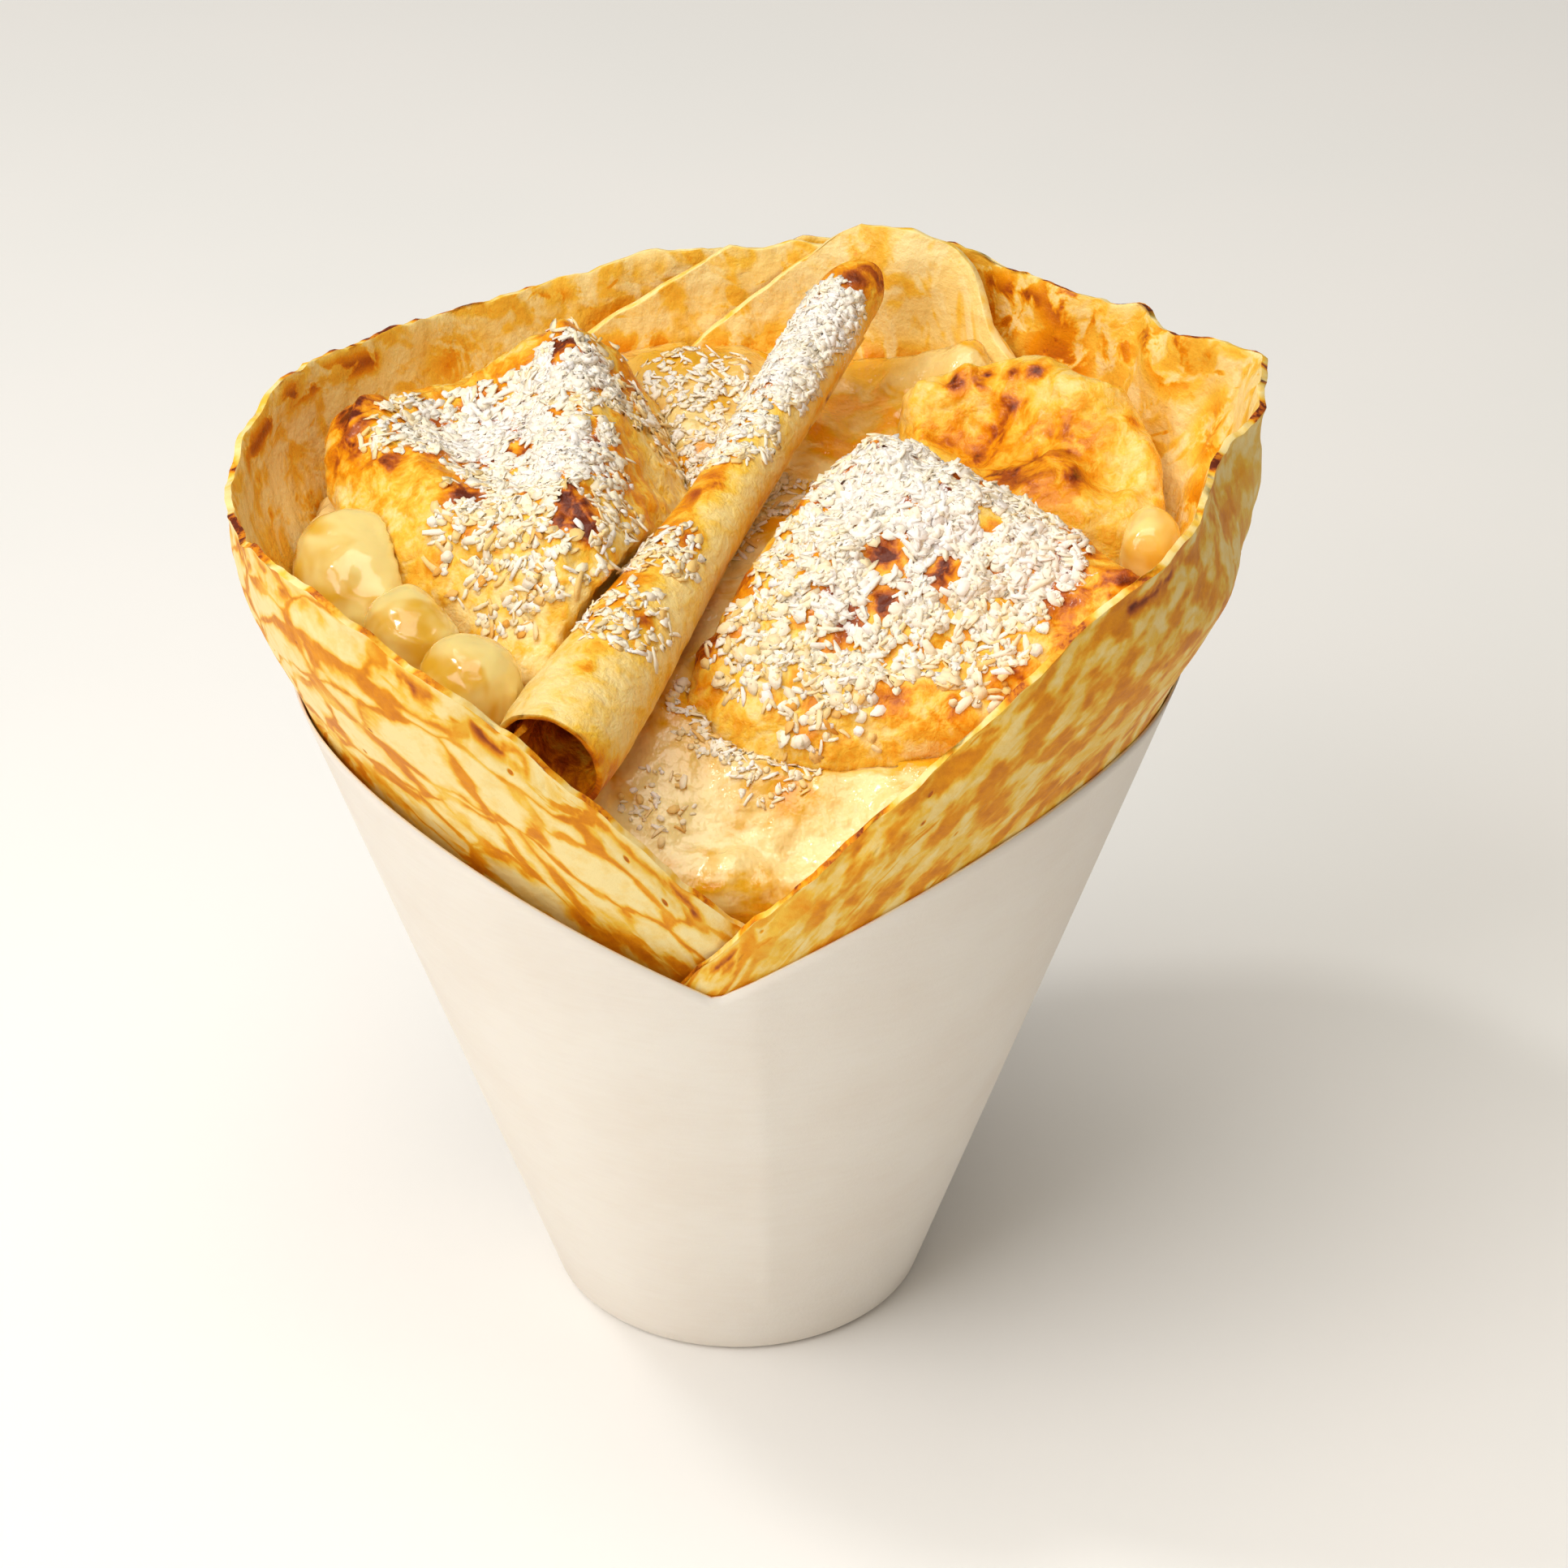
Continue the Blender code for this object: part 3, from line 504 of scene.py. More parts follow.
def along(points, x):
    """The smooth curve through points (x, y), read at each x; level beyond its ends."""
    knots = np.array(sorted(points), float)
    at, value = knots[:, 0], knots[:, 1]
    slope = np.empty(len(at))
    slope[1:-1] = (value[2:] - value[:-2]) / (at[2:] - at[:-2])
    slope[0] = (value[1] - value[0]) / (at[1] - at[0])
    slope[-1] = (value[-1] - value[-2]) / (at[-1] - at[-2])
    x = np.clip(x, at[0], at[-1])
    i = np.clip(np.searchsorted(at, x) - 1, 0, len(at) - 2)
    step = at[i + 1] - at[i]
    t = (x - at[i]) / step
    return (
        (2 * t**3 - 3 * t**2 + 1) * value[i]
        + (t**3 - 2 * t**2 + t) * step * slope[i]
        + (3 * t**2 - 2 * t**3) * value[i + 1]
        + (t**3 - t**2) * step * slope[i + 1]
    )


def wrapped(angle):
    """The same direction between -180 and 180."""
    return (angle + 180) % 360 - 180


def polar(angle, radius, height):
    a = np.radians(angle)
    return np.stack([radius * np.sin(a), -radius * np.cos(a), height + 0 * a], axis=-1)


def cone_radius(height):
    return BASE_RADIUS + WALL_SLOPE * height


def paper_top(angle):
    from_v = wrapped(angle - PAPER_V_ANGLE)
    rise = np.where(from_v < 0, PAPER_RISE_LEFT, PAPER_RISE_RIGHT)
    back = ease((np.abs(from_v) - 100) / 80)
    rise = rise + (0.5 * (PAPER_RISE_LEFT + PAPER_RISE_RIGHT) - rise) * back
    return PAPER_V_HEIGHT + rise * np.sin(np.radians(90 * np.minimum(np.abs(from_v) / PAPER_RISE_SPAN, 1)))


def row_noise(values):
    return np.array([noise.noise(Vector(v)) for v in values])


def rim_height(angle):
    """The crepe's ragged rim, at angles along the sheet."""
    angle = np.atleast_1d(angle)
    known, index = np.unique(np.round(angle, 4), return_inverse=True)
    ragged = sum(share * row_noise([(a * each, at, 0) for a in known]) for each, at, share in RIM_NOTCHES)
    return (along(RIM, known) + RIM_RAGGED * ragged)[index.reshape(angle.shape)]


def crepe_shift(angle, height, rim):
    """How far the wall stands out from the plain cone above the paper, outwards positive."""
    direction = wrapped(angle)
    free = ease((height - paper_top(direction) - FREE_FROM) / FREE_HEIGHT)
    wave = RIM_WAVE * np.sin(np.radians(direction * RIM_WAVES + RIM_WAVE_START))
    crumple = np.exp(-(((direction - CRUMPLE_ANGLE) / CRUMPLE_SPAN) ** 2))
    turn = direction * CRUMPLES + CRUMPLE_LEAN * (height - 90)
    wave = wave + CRUMPLE * crumple * np.sin(np.radians(turn))
    lean = sum(much * np.exp(-(((direction - at) / span) ** 2)) for at, much, span in LEANS)
    lean = lean * ease((height - LEAN_FROM) / LEAN_HEIGHT)
    below_rim = ease((rim - height) / LEAN_HEIGHT)
    belly = BULGE * below_rim - RIM_IN * (1 - below_rim)
    front = 1 - np.exp(-((direction / 40) ** 2))
    return free * front * (wave + belly - lean)


def lap_depth(angle):
    """The flap that begins the sheet lies one thickness inside the other."""
    return (CREPE_THICKNESS + LAP_GAP) * ease((angle - LAP_NONE) / (LAP_FULL - LAP_NONE))


def crepe_middle(angle, height, inside=0.0):
    """Points in the middle of the crepe's thickness, or that far inside it."""
    inset = PAPER_THICKNESS + GAP + CREPE_THICKNESS / 2 + lap_depth(angle) + inside
    radius = cone_radius(height) - inset + crepe_shift(angle, height, rim_height(angle))
    return polar(angle, radius, height)


def kept_inside(points, gap):
    """Points moved in where they would pass the wrap's inner surface, as soft food gives way."""
    direction = direction_of(points)
    sheet = np.where(direction < RIM[0][0] + FLAP_SPARE, direction, direction - 360)
    wall = np.hypot(*crepe_middle(sheet, points[:, 2], CREPE_THICKNESS / 2 + gap)[:, :2].T)
    reach = np.hypot(points[:, 0], points[:, 1])
    free = points[:, 2] > rim_height(sheet)
    share = np.where(free | (reach < wall), 1.0, wall / np.maximum(reach, 1e-6))
    return points * np.stack([share, share, np.ones(len(points))], axis=1)


def new_finish(name, roughness, subsurface=0.0, coat=0.0, sheen=0.22):
    """A material, its tree, its shader, and a piece's own coordinates in millimetres."""
    made = bpy.data.materials.new(name)
    made.use_nodes = True
    tree = made.node_tree
    shader = tree.nodes["Principled BSDF"]
    shader.inputs["Roughness"].default_value = roughness
    shader.inputs["Coat Weight"].default_value = coat
    shader.inputs["Coat Roughness"].default_value = 0.15
    shader.inputs["Specular IOR Level"].default_value = sheen
    shader.inputs["Subsurface Weight"].default_value = subsurface
    # light goes deepest into food as red, so that thin edges look warm
    shader.inputs["Subsurface Radius"].default_value = (1.0, 0.55, 0.25)
    shader.inputs["Subsurface Scale"].default_value = 2.0 * MM
    place = put(tree, "ShaderNodeTexCoord", "Object")
    return made, tree, shader, put(tree, MAPPING, "Vector", {"Vector": place, "Scale": (1 / MM,) * 3})


def sheet_coordinates(tree):
    """How far along the sheet and below its rim a spot is, in millimetres."""
    unrolled = put(tree, "ShaderNodeUVMap", "UV", uv_map="UVMap")
    return put(tree, MAPPING, "Vector", {"Vector": unrolled, "Scale": (UV_SCALE, UV_SCALE, 1.0)})


def toast_stops():
    """The colours that batter goes through as it browns."""
    tones = bpy.context.scene.crepe_colours
    return (
        (0.0, tones.batter), (0.28, tones.golden), (0.5, tones.amber), (0.66, tones.caramel),
        (0.82, tones.russet), (1.0, tones.burnt),
    )


def blotches(tree, place, size, edges, levels=(0.0, 1.0), detail=3.0, roughness=0.5, distortion=0.0):
    """Soft blotches of a size: the share of the pattern where they begin and end, and their levels there."""
    shape = {"Detail": detail, "Roughness": roughness, "Distortion": distortion}
    pattern = put(tree, NOISE, "Fac", {"Vector": place, "Scale": 1 / size, **shape})
    span = {"Value": pattern, 1: edges[0], 2: edges[1], 3: levels[0], 4: levels[1]}
    return put(tree, RANGE, "Result", span, **SMOOTH)


def painted_brown(tree, name, pattern, others=()):
    """Brown painted on the piece and broken by a pattern, where no other brown is stronger."""
    painted = put(tree, "ShaderNodeAttribute", "Fac", attribute_name=name)
    brown = put(tree, MATH, "Value", {0: painted, 1: pattern}, operation="MULTIPLY")
    for share in others:
        brown = put(tree, MATH, "Value", {0: brown, 1: share}, operation="MAXIMUM")
    return brown


def join_surface(tree, shader, share, stops, height, depth):
    """Gives the shader its colour, by a share through the stops, and a relief so many millimetres deep."""
    tone = put(tree, "ShaderNodeValToRGB", "Color", {"Fac": share}, stops)
    tree.links.new(tone, shader.inputs["Base Color"])
    relief_by = {"Height": height, "Distance": depth * MM, "Strength": 1.0}
    normal = put(tree, "ShaderNodeBump", "Normal", relief_by)
    tree.links.new(normal, shader.inputs["Normal"])
    return tone


def lace(tree, sheet):
    """A browned net: the borders of cells about 11 by 5.5 mm, wavy, and faint where the pan was dry."""
    wave = put(tree, NOISE, "Color", {"Vector": sheet, "Scale": 1 / 6, "Detail": 3.0})
    wave = put(tree, "ShaderNodeVectorMath", "Vector", {0: wave, 1: (5.0, 3.6, 0.0)}, operation="MULTIPLY")
    wavy = put(tree, "ShaderNodeVectorMath", "Vector", {0: sheet, 1: wave}, operation="ADD")
    slant = {"Vector": wavy, "Rotation": (0.0, 0.0, math.radians(14)), "Scale": (11.0, 5.5, 1.0)}
    slanted = put(tree, MAPPING, "Vector", slant, **SIZED)
    cells = put(tree, CELLS, "Distance", {"Vector": slanted, "Scale": 1.0}, feature="DISTANCE_TO_EDGE")
    # the lines swell and thin from nothing to about 1.5 mm
    swell = blotches(tree, sheet, 4.5, (0.36, 0.68), (-0.01, 0.085))
    inside = put(tree, MATH, "Value", {0: cells, 1: swell}, operation="SUBTRACT")
    core = put(tree, RANGE, "Result", {"Value": inside, 1: 0.06, 2: -0.01, 4: 0.3}, **SMOOTH)
    halo = put(tree, RANGE, "Result", {"Value": inside, 1: 0.16, 2: 0.0, 4: 0.24}, **SMOOTH)
    line = put(tree, MATH, "Value", {0: core, 1: halo}, operation="ADD")
    faint = blotches(tree, sheet, 12, (0.34, 0.5), (0.45, 1.05), detail=2.0)
    return put(tree, MATH, "Value", {0: line, 1: faint}, operation="MULTIPLY")


def crepe_outside():
    """Thin wheat batter fried on an iron plate, so the fat leaves a lacy amber net on a pale skin."""
    made, tree, shader, place = new_finish("pan_side_crepe", 0.55, subsurface=0.04)
    sheet = sheet_coordinates(tree)
    slant = {"Vector": sheet, "Rotation": (0.0, 0.0, math.radians(10)), "Scale": (12.0, 4.5, 1.0)}
    slanted = put(tree, MAPPING, "Vector", slant, **SIZED)
    patches = blotches(tree, slanted, 1, (0.6, 0.72), (0.0, 0.5), roughness=0.6, distortion=0.8)
    # bubbles burst about 4 mm apart, a third of them leaving a dark spot under a millimetre wide
    cell = put(tree, CELLS, "Distance", {"Vector": sheet, "Scale": 1 / 4.2})
    dot = put(tree, RANGE, "Result", {"Value": cell, 1: 0.12, 2: 0.05}, **SMOOTH)
    chosen = put(tree, "ShaderNodeSeparateColor", "Red", {"Color": cell.node.outputs["Color"]})
    chosen = put(tree, RANGE, "Result", {"Value": chosen, 1: 0.62, 2: 0.66, 4: 0.74}, **SMOOTH)
    dots = put(tree, MATH, "Value", {0: dot, 1: chosen}, operation="MULTIPLY")
    # the painted toast, and on the right flap the painted shade, break up into blotches of about 4 mm, so
    # that no brown has a clean edge
    broken = blotches(tree, sheet, 4, (0.38, 0.6), (0.2, 1.2))
    net = painted_brown(tree, "netted", lace(tree, sheet))
    brown = painted_brown(tree, "toasted", broken, (net, patches, dots))
    mottle = blotches(tree, place, 2.2, (0.35, 0.7), (-0.04, 0.1), detail=4.0, roughness=0.6)
    brown = put(tree, MATH, "Value", {0: brown, 1: mottle}, operation="ADD")
    pits = put(tree, MATH, "Value", {0: dot, 1: -0.6}, operation="MULTIPLY")
    grain = put(tree, NOISE, "Fac", {"Vector": place, "Scale": 1 / 0.9, "Detail": 4.0, "Roughness": 0.6})
    height = put(tree, MATH, "Value", {0: grain, 1: pits}, operation="ADD")
    join_surface(tree, shader, brown, toast_stops(), height, 0.14)
    return made


def crepe_inside():
    """The batter's upper side, which sets in the steam: golden, soft and mottled where butter ran."""
    made, tree, shader, place = new_finish("steamed_side_crepe", 0.3, subsurface=0.08, coat=0.08, sheen=0.3)
    sheet = sheet_coordinates(tree)
    clouds = blotches(tree, sheet, 6, (0.42, 0.62), (-0.1, 0.34), roughness=0.6, distortion=0.5)
    slant = {"Vector": sheet, "Rotation": (0.0, 0.0, math.radians(-20)), "Scale": (9.0, 3.5, 1.0)}
    slanted = put(tree, MAPPING, "Vector", slant, **SIZED)
    streak = blotches(tree, slanted, 1, (0.6, 0.72), (0.0, 0.46), roughness=0.6, distortion=0.8)
    broken = blotches(tree, sheet, 5, (0.42, 0.54), (0.1, 1.1), detail=4.0, roughness=0.6, distortion=0.5)
    # the painted brown holds toast, and painted shade on the right flap and at the back layers' foot
    brown = painted_brown(tree, "toasted", broken, (clouds, streak))
    freckles = blotches(tree, place, 1.6, (0.6, 0.72), (0.0, 0.14), roughness=0.6)
    brown = put(tree, MATH, "Value", {0: brown, 1: freckles}, operation="ADD")
    # soft creases about 4 mm apart run down the wall
    crease = {"Vector": sheet, "Rotation": (0.0, 0.0, math.radians(10)), "Scale": (4.0, 9.0, 1.0)}
    crease = put(tree, MAPPING, "Vector", crease, **SIZED)
    crease = put(tree, NOISE, "Fac", {"Vector": crease, "Scale": 1.0, "Detail": 2.0})
    crease = put(tree, MATH, "Value", {0: crease, 1: 3.0}, operation="MULTIPLY")
    grain = put(tree, NOISE, "Fac", {"Vector": place, "Scale": 1 / 1.2, "Detail": 4.0, "Roughness": 0.6})
    height = put(tree, MATH, "Value", {0: grain, 1: crease}, operation="ADD")
    join_surface(tree, shader, brown, toast_stops(), height, 0.3)
    return made


def crepe_lip():
    """The crepe's thin edge, which dries pale and catches in short burnt stretches."""
    made, tree, shader, place = new_finish("crisp_edge_crepe", 0.55, subsurface=0.1)
    speckle = blotches(tree, place, 1, (0.42, 0.62), (0.65, 1.05), roughness=0.6)
    brown = painted_brown(tree, "burnt", speckle)
    golden = blotches(tree, place, 2.4, (0.4, 0.7), (0.02, 0.3))
    brown = put(tree, MATH, "Value", {0: brown, 1: golden}, operation="ADD")
    height = put(tree, NOISE, "Fac", {"Vector": place, "Scale": 1 / 0.8, "Detail": 3.0})
    join_surface(tree, shader, brown, toast_stops(), height, 0.12)
    return made


def toasted_crepe(name, base, mottle, dusted=False, roughness=0.36, subsurface=0.1):
    """Crepe baked on top of the filling: golden, blistered brown on its peaks, dusted with coconut."""
    made, tree, shader, place = new_finish(name, roughness, subsurface=subsurface, coat=0.12)
    blisters = {"Vector": place, "Scale": 1 / 3.4, "Detail": 3.0, "Roughness": 0.6, "Distortion": 0.5}
    blisters = put(tree, NOISE, "Fac", blisters)
    fine = {"Vector": place, "Scale": 1 / 1.1, "Detail": 3.0, "Roughness": 0.6, "Distortion": 0.3}
    fine = put(tree, NOISE, "Fac", fine)
    # the painted toast, and the painted shade in the roll's hollow and in the crevice where the right fold
    # meets it, break up into blisters of 3 mm and specks of 1 mm
    broken = put(tree, RANGE, "Result", {"Value": blisters, 1: 0.3, 2: 0.56, 3: 0.5, 4: 1.1}, **SMOOTH)
    brown = painted_brown(tree, "toasted", broken)
    for pattern, low, high, least, most in (
        (blisters, 0.4, 0.68, base - mottle / 2, base + mottle), (fine, 0.35, 0.7, -mottle / 3, mottle / 2),
    ):
        share = put(tree, RANGE, "Result", {"Value": pattern, 1: low, 2: high, 3: least, 4: most}, **SMOOTH)
        brown = put(tree, MATH, "Value", {0: brown, 1: share}, operation="ADD")
    height = put(tree, MATH, "Value", {0: blisters, 1: 1.5}, operation="MULTIPLY")
    height = put(tree, MATH, "Value", {0: fine, 1: height}, operation="ADD")
    tone = join_surface(tree, shader, brown, toast_stops(), height, 0.3)
    if dusted:
        # coconut dust lies in patches of half a millimetre to one, and lets the crust show between
        dust = put(tree, "ShaderNodeAttribute", "Fac", attribute_name="dusted")
        dust = put(tree, MATH, "Value", {0: dust, 1: 0.78}, operation="MULTIPLY")
        grit = {"Vector": place, "Scale": 1 / 0.75, "Detail": 3.0, "Roughness": 0.6, "Distortion": 0.5}
        grit = put(tree, NOISE, "Fac", grit)
        dust = put(tree, MATH, "Value", {0: dust, 1: grit}, operation="ADD")
        dust = put(tree, RANGE, "Result", {"Value": dust, 1: 1.04, 2: 1.16, 4: 0.97}, **SMOOTH)
        white = (*bpy.context.scene.crepe_colours.coconut, 1.0)
        dusty = put(tree, "ShaderNodeMix", 2, {"Factor": dust, 6: tone, 7: white}, data_type="RGBA")
        tree.links.new(dusty, shader.inputs["Base Color"])
    return made


def whipped_cream():
    """Cream and custard smoothed by warmth: pale, glossy, with yellower pools, painted shade in a groove and
    in the crevice along the roll, and small curds.
    """
    made, tree, shader, place = new_finish("custard_cream", 0.14, subsurface=0.15, coat=0.6, sheen=0.45)
    tones = bpy.context.scene.crepe_colours
    pools = blotches(tree, place, 8, (0.4, 0.64), (0.0, 0.72), roughness=0.55, distortion=0.5)
    brown_and_shade = put(tree, "ShaderNodeAttribute", "Fac", attribute_name="toasted")
    share = put(tree, MATH, "Value", {0: pools, 1: brown_and_shade}, operation="MAXIMUM")
    # the painted shade in the crevice along the roll reaches the amber and russet end
    stops = ((0.0, tones.cream), (0.55, tones.butter), (0.78, tones.amber), (1.0, tones.russet))
    fine = put(tree, NOISE, "Fac", {"Vector": place, "Scale": 1 / 0.8})
    fine = put(tree, MATH, "Value", {0: fine, 1: 0.3}, operation="MULTIPLY")
    curds = put(tree, NOISE, "Fac", {"Vector": place, "Scale": 1 / 2.4})
    curds = put(tree, MATH, "Value", {0: curds, 1: fine}, operation="ADD")
    join_surface(tree, shader, share, stops, curds, 0.55)
    return made


def soft_fruit():
    """Poached fruit flesh, wet and half clear, so light sinks in and its edges stay bright."""
    made, tree, shader, place = new_finish("poached_fruit", 0.14, subsurface=0.35, coat=0.6, sheen=0.5)
    tones = bpy.context.scene.crepe_colours
    flesh = blotches(tree, place, 6, (0.4, 0.66), detail=2.0, distortion=0.4)
    height = put(tree, NOISE, "Fac", {"Vector": place, "Scale": 1 / 2})
    join_surface(tree, shader, flesh, ((0.0, tones.fruit), (1.0, tones.fruit_deep)), height, 0.08)
    return made


def coconut_flesh():
    """Dried, grated coconut: white and matt with a little fat, some flakes creamier than others."""
    made, tree, shader, place = new_finish("grated_coconut", 0.75)
    tones = bpy.context.scene.crepe_colours
    stops = (
        (0.0, tones.coconut), (0.45, colour("FAEFD4")), (0.75, colour("F5D48A")), (1.0, colour("E9A94A")),
    )
    tint = put(tree, "ShaderNodeAttribute", "Fac", attribute_name="tint")
    height = put(tree, NOISE, "Fac", {"Vector": place, "Scale": 1 / 0.3})
    join_surface(tree, shader, tint, stops, height, 0.05)
    return made


def plain_paper():
    """Bleached uncoated paper, pressed from short fibres: matt, faintly cloudy, never quite white."""
    made, tree, shader, place = new_finish("uncoated_paper", 0.82, subsurface=0.05)
    tones = bpy.context.scene.crepe_colours
    # fibres are too fine to show, so they are drawn about twenty times as wide: 4 mm long, 0.5 mm wide
    fibres = put(tree, MAPPING, "Vector", {"Vector": place, "Scale": (4.0, 4.0, 0.5)}, **SIZED)
    fibres = put(tree, NOISE, "Fac", {"Vector": fibres, "Scale": 1.0})
    fibres = put(tree, MATH, "Value", {0: fibres, 1: 0.35}, operation="MULTIPLY")
    cloud = put(tree, NOISE, "Fac", {"Vector": place, "Scale": 1 / 14, "Detail": 3.0})
    cloud = put(tree, MATH, "Value", {0: cloud, 1: fibres}, operation="ADD")
    height = put(tree, NOISE, "Fac", {"Vector": place, "Scale": 1 / 0.6, "Detail": 3.0, "Roughness": 0.6})
    join_surface(tree, shader, cloud, ((0.35, colour("F1E6D9")), (0.85, tones.paper)), height, 0.03)
    return made


def studio_floor():
    """Seamless white studio card, so evenly lit that it hardly shows."""
    made, tree, shader, place = new_finish("studio_card", 0.9)
    tones = bpy.context.scene.crepe_colours
    faint = put(tree, NOISE, "Fac", {"Vector": place, "Scale": 1 / 60})
    share = put(tree, RANGE, "Result", {"Value": faint, 1: 0.3, 2: 0.7}, **SMOOTH)
    join_surface(tree, shader, share, ((0.0, colour("FCFCFB")), (1.0, tones.floor)), faint, 0.01)
    return made


def new_sheet(name, grid, place, thickness, finishes):
    """A fine grid set by place(u, v), which gives points and their place on the sheet, made a wall.

    The finishes are for its first side, its other side and its edge, where the wall thins."""
    deselect()
    bpy.ops.mesh.primitive_grid_add(x_subdivisions=grid[0], y_subdivisions=grid[1], size=1)
    piece = bpy.context.object
    piece.name = piece.data.name = name
    square = points_of(piece) * MM
    points, unrolled = place(square[:, 0] + 0.5, square[:, 1] + 0.5)
    place_points(piece, points)
    flat = unrolled[corners_of(piece)] / UV_SCALE
    piece.data.uv_layers[0].data.foreach_set("uv", flat.astype(np.float32).ravel())
    for made in finishes:
        piece.data.materials.append(made)
    full = piece.vertex_groups.new(name="full")
    for index, below in enumerate(unrolled[:, 1]):
        full.add([index], min(max(below / EDGE_TAPER, 0.0), 1.0), "REPLACE")
    modify(
        piece, "SOLIDIFY", thickness=thickness, offset=0, use_quality_normals=True, material_offset=1,
        material_offset_rim=2, vertex_group="full", thickness_vertex_group=EDGE_THIN,
    )
    modify(
        piece, "BEVEL", width=0.3 * thickness, segments=2, limit_method="ANGLE", angle_limit=math.radians(55),
        harden_normals=False,
    )
    return piece


def soft_copy(node, kind, coarseness=1.0):
    """A fine copy of a solid's mesh with its corners rounded, as soft food's are."""
    piece = bpy.data.objects.new(f"{node}_finished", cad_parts[node].data.copy())
    bpy.context.scene.collection.objects.link(piece)
    piece.data.materials.clear()
    activate(piece)
    bpy.ops.object.mode_set(mode="EDIT")
    bpy.ops.mesh.select_all(action="SELECT")
    bpy.ops.mesh.remove_doubles(threshold=0.01 * MM)
    bpy.ops.object.mode_set(mode="OBJECT")
    modify(piece, "REMESH", mode="VOXEL", voxel_size=coarseness * bpy.context.scene.crepe_sizes.grain)
    modify(piece, "SMOOTH", factor=0.5, iterations=SMOOTHING[kind])
    return piece


class CREPE_OT_paper_cone(bpy.types.Operator):
    """The plain paper cone, turned from a disc ring by ring, with its top edge cut to a V"""

    bl_idname = "crepe.paper_cone"
    bl_label = "Paper cone"

    def execute(self, context):
        deselect()
        bpy.ops.mesh.primitive_circle_add(
            vertices=PAPER_SIDES, radius=(BASE_RADIUS - BASE_FILLET) * MM, fill_type="NGON"
        )
        piece = context.object
        piece.name = piece.data.name = "paper_cone_finished"
        bpy.ops.object.mode_set(mode="EDIT")
        bpy.ops.mesh.select_all(action="SELECT")
        shares = np.linspace(0, 1, PAPER_RINGS)
        for _ in range(PAPER_RINGS + 1):
            bpy.ops.mesh.extrude_edges_move(TRANSFORM_OT_translate={"value": (0, 0, MM)})
        bpy.ops.object.mode_set(mode="OBJECT")
        points = points_of(piece)
        angle = direction_of(points)
        ring = np.round(points[:, 2]).astype(int)
        foot = np.array([0.0, 0.3 * BASE_FILLET, BASE_FILLET])
        top = paper_top(angle)
        share = shares[np.maximum(ring - 2, 0)]
        height = np.where(ring < 3, foot[np.minimum(ring, 2)], BASE_FILLET + (top - BASE_FILLET) * share)
        inset = np.where(ring == 0, BASE_FILLET, np.where(ring == 1, 0.35 * BASE_FILLET, 0.0))
        # paper rolled by hand keeps faint flats and one soft crease at the front
        flats = 0.12 * row_noise([(a * 0.03, h * 0.02, 5.0) for a, h in zip(angle, height)])
        crease = 0.35 * np.exp(-np.abs(wrapped(angle - 9 + 0.09 * height)) / 5) * ease(height / 20)
        free = ease(height / 12) * ease((top - height) / 12 + 0.5)
        radius = cone_radius(np.where(ring < 2, 0, height)) - inset + (flats + crease) * free
        place_points(piece, polar(angle, radius, height))
        # the disc faces up, so the wall grows from its outer side to its inner one
        modify(piece, "SOLIDIFY", thickness=context.scene.crepe_sizes.paper, offset=1, use_even_offset=True)
        piece.data.materials.append(plain_paper())
        finish_piece(piece, "paper", "paper_cone")
        return {"FINISHED"}


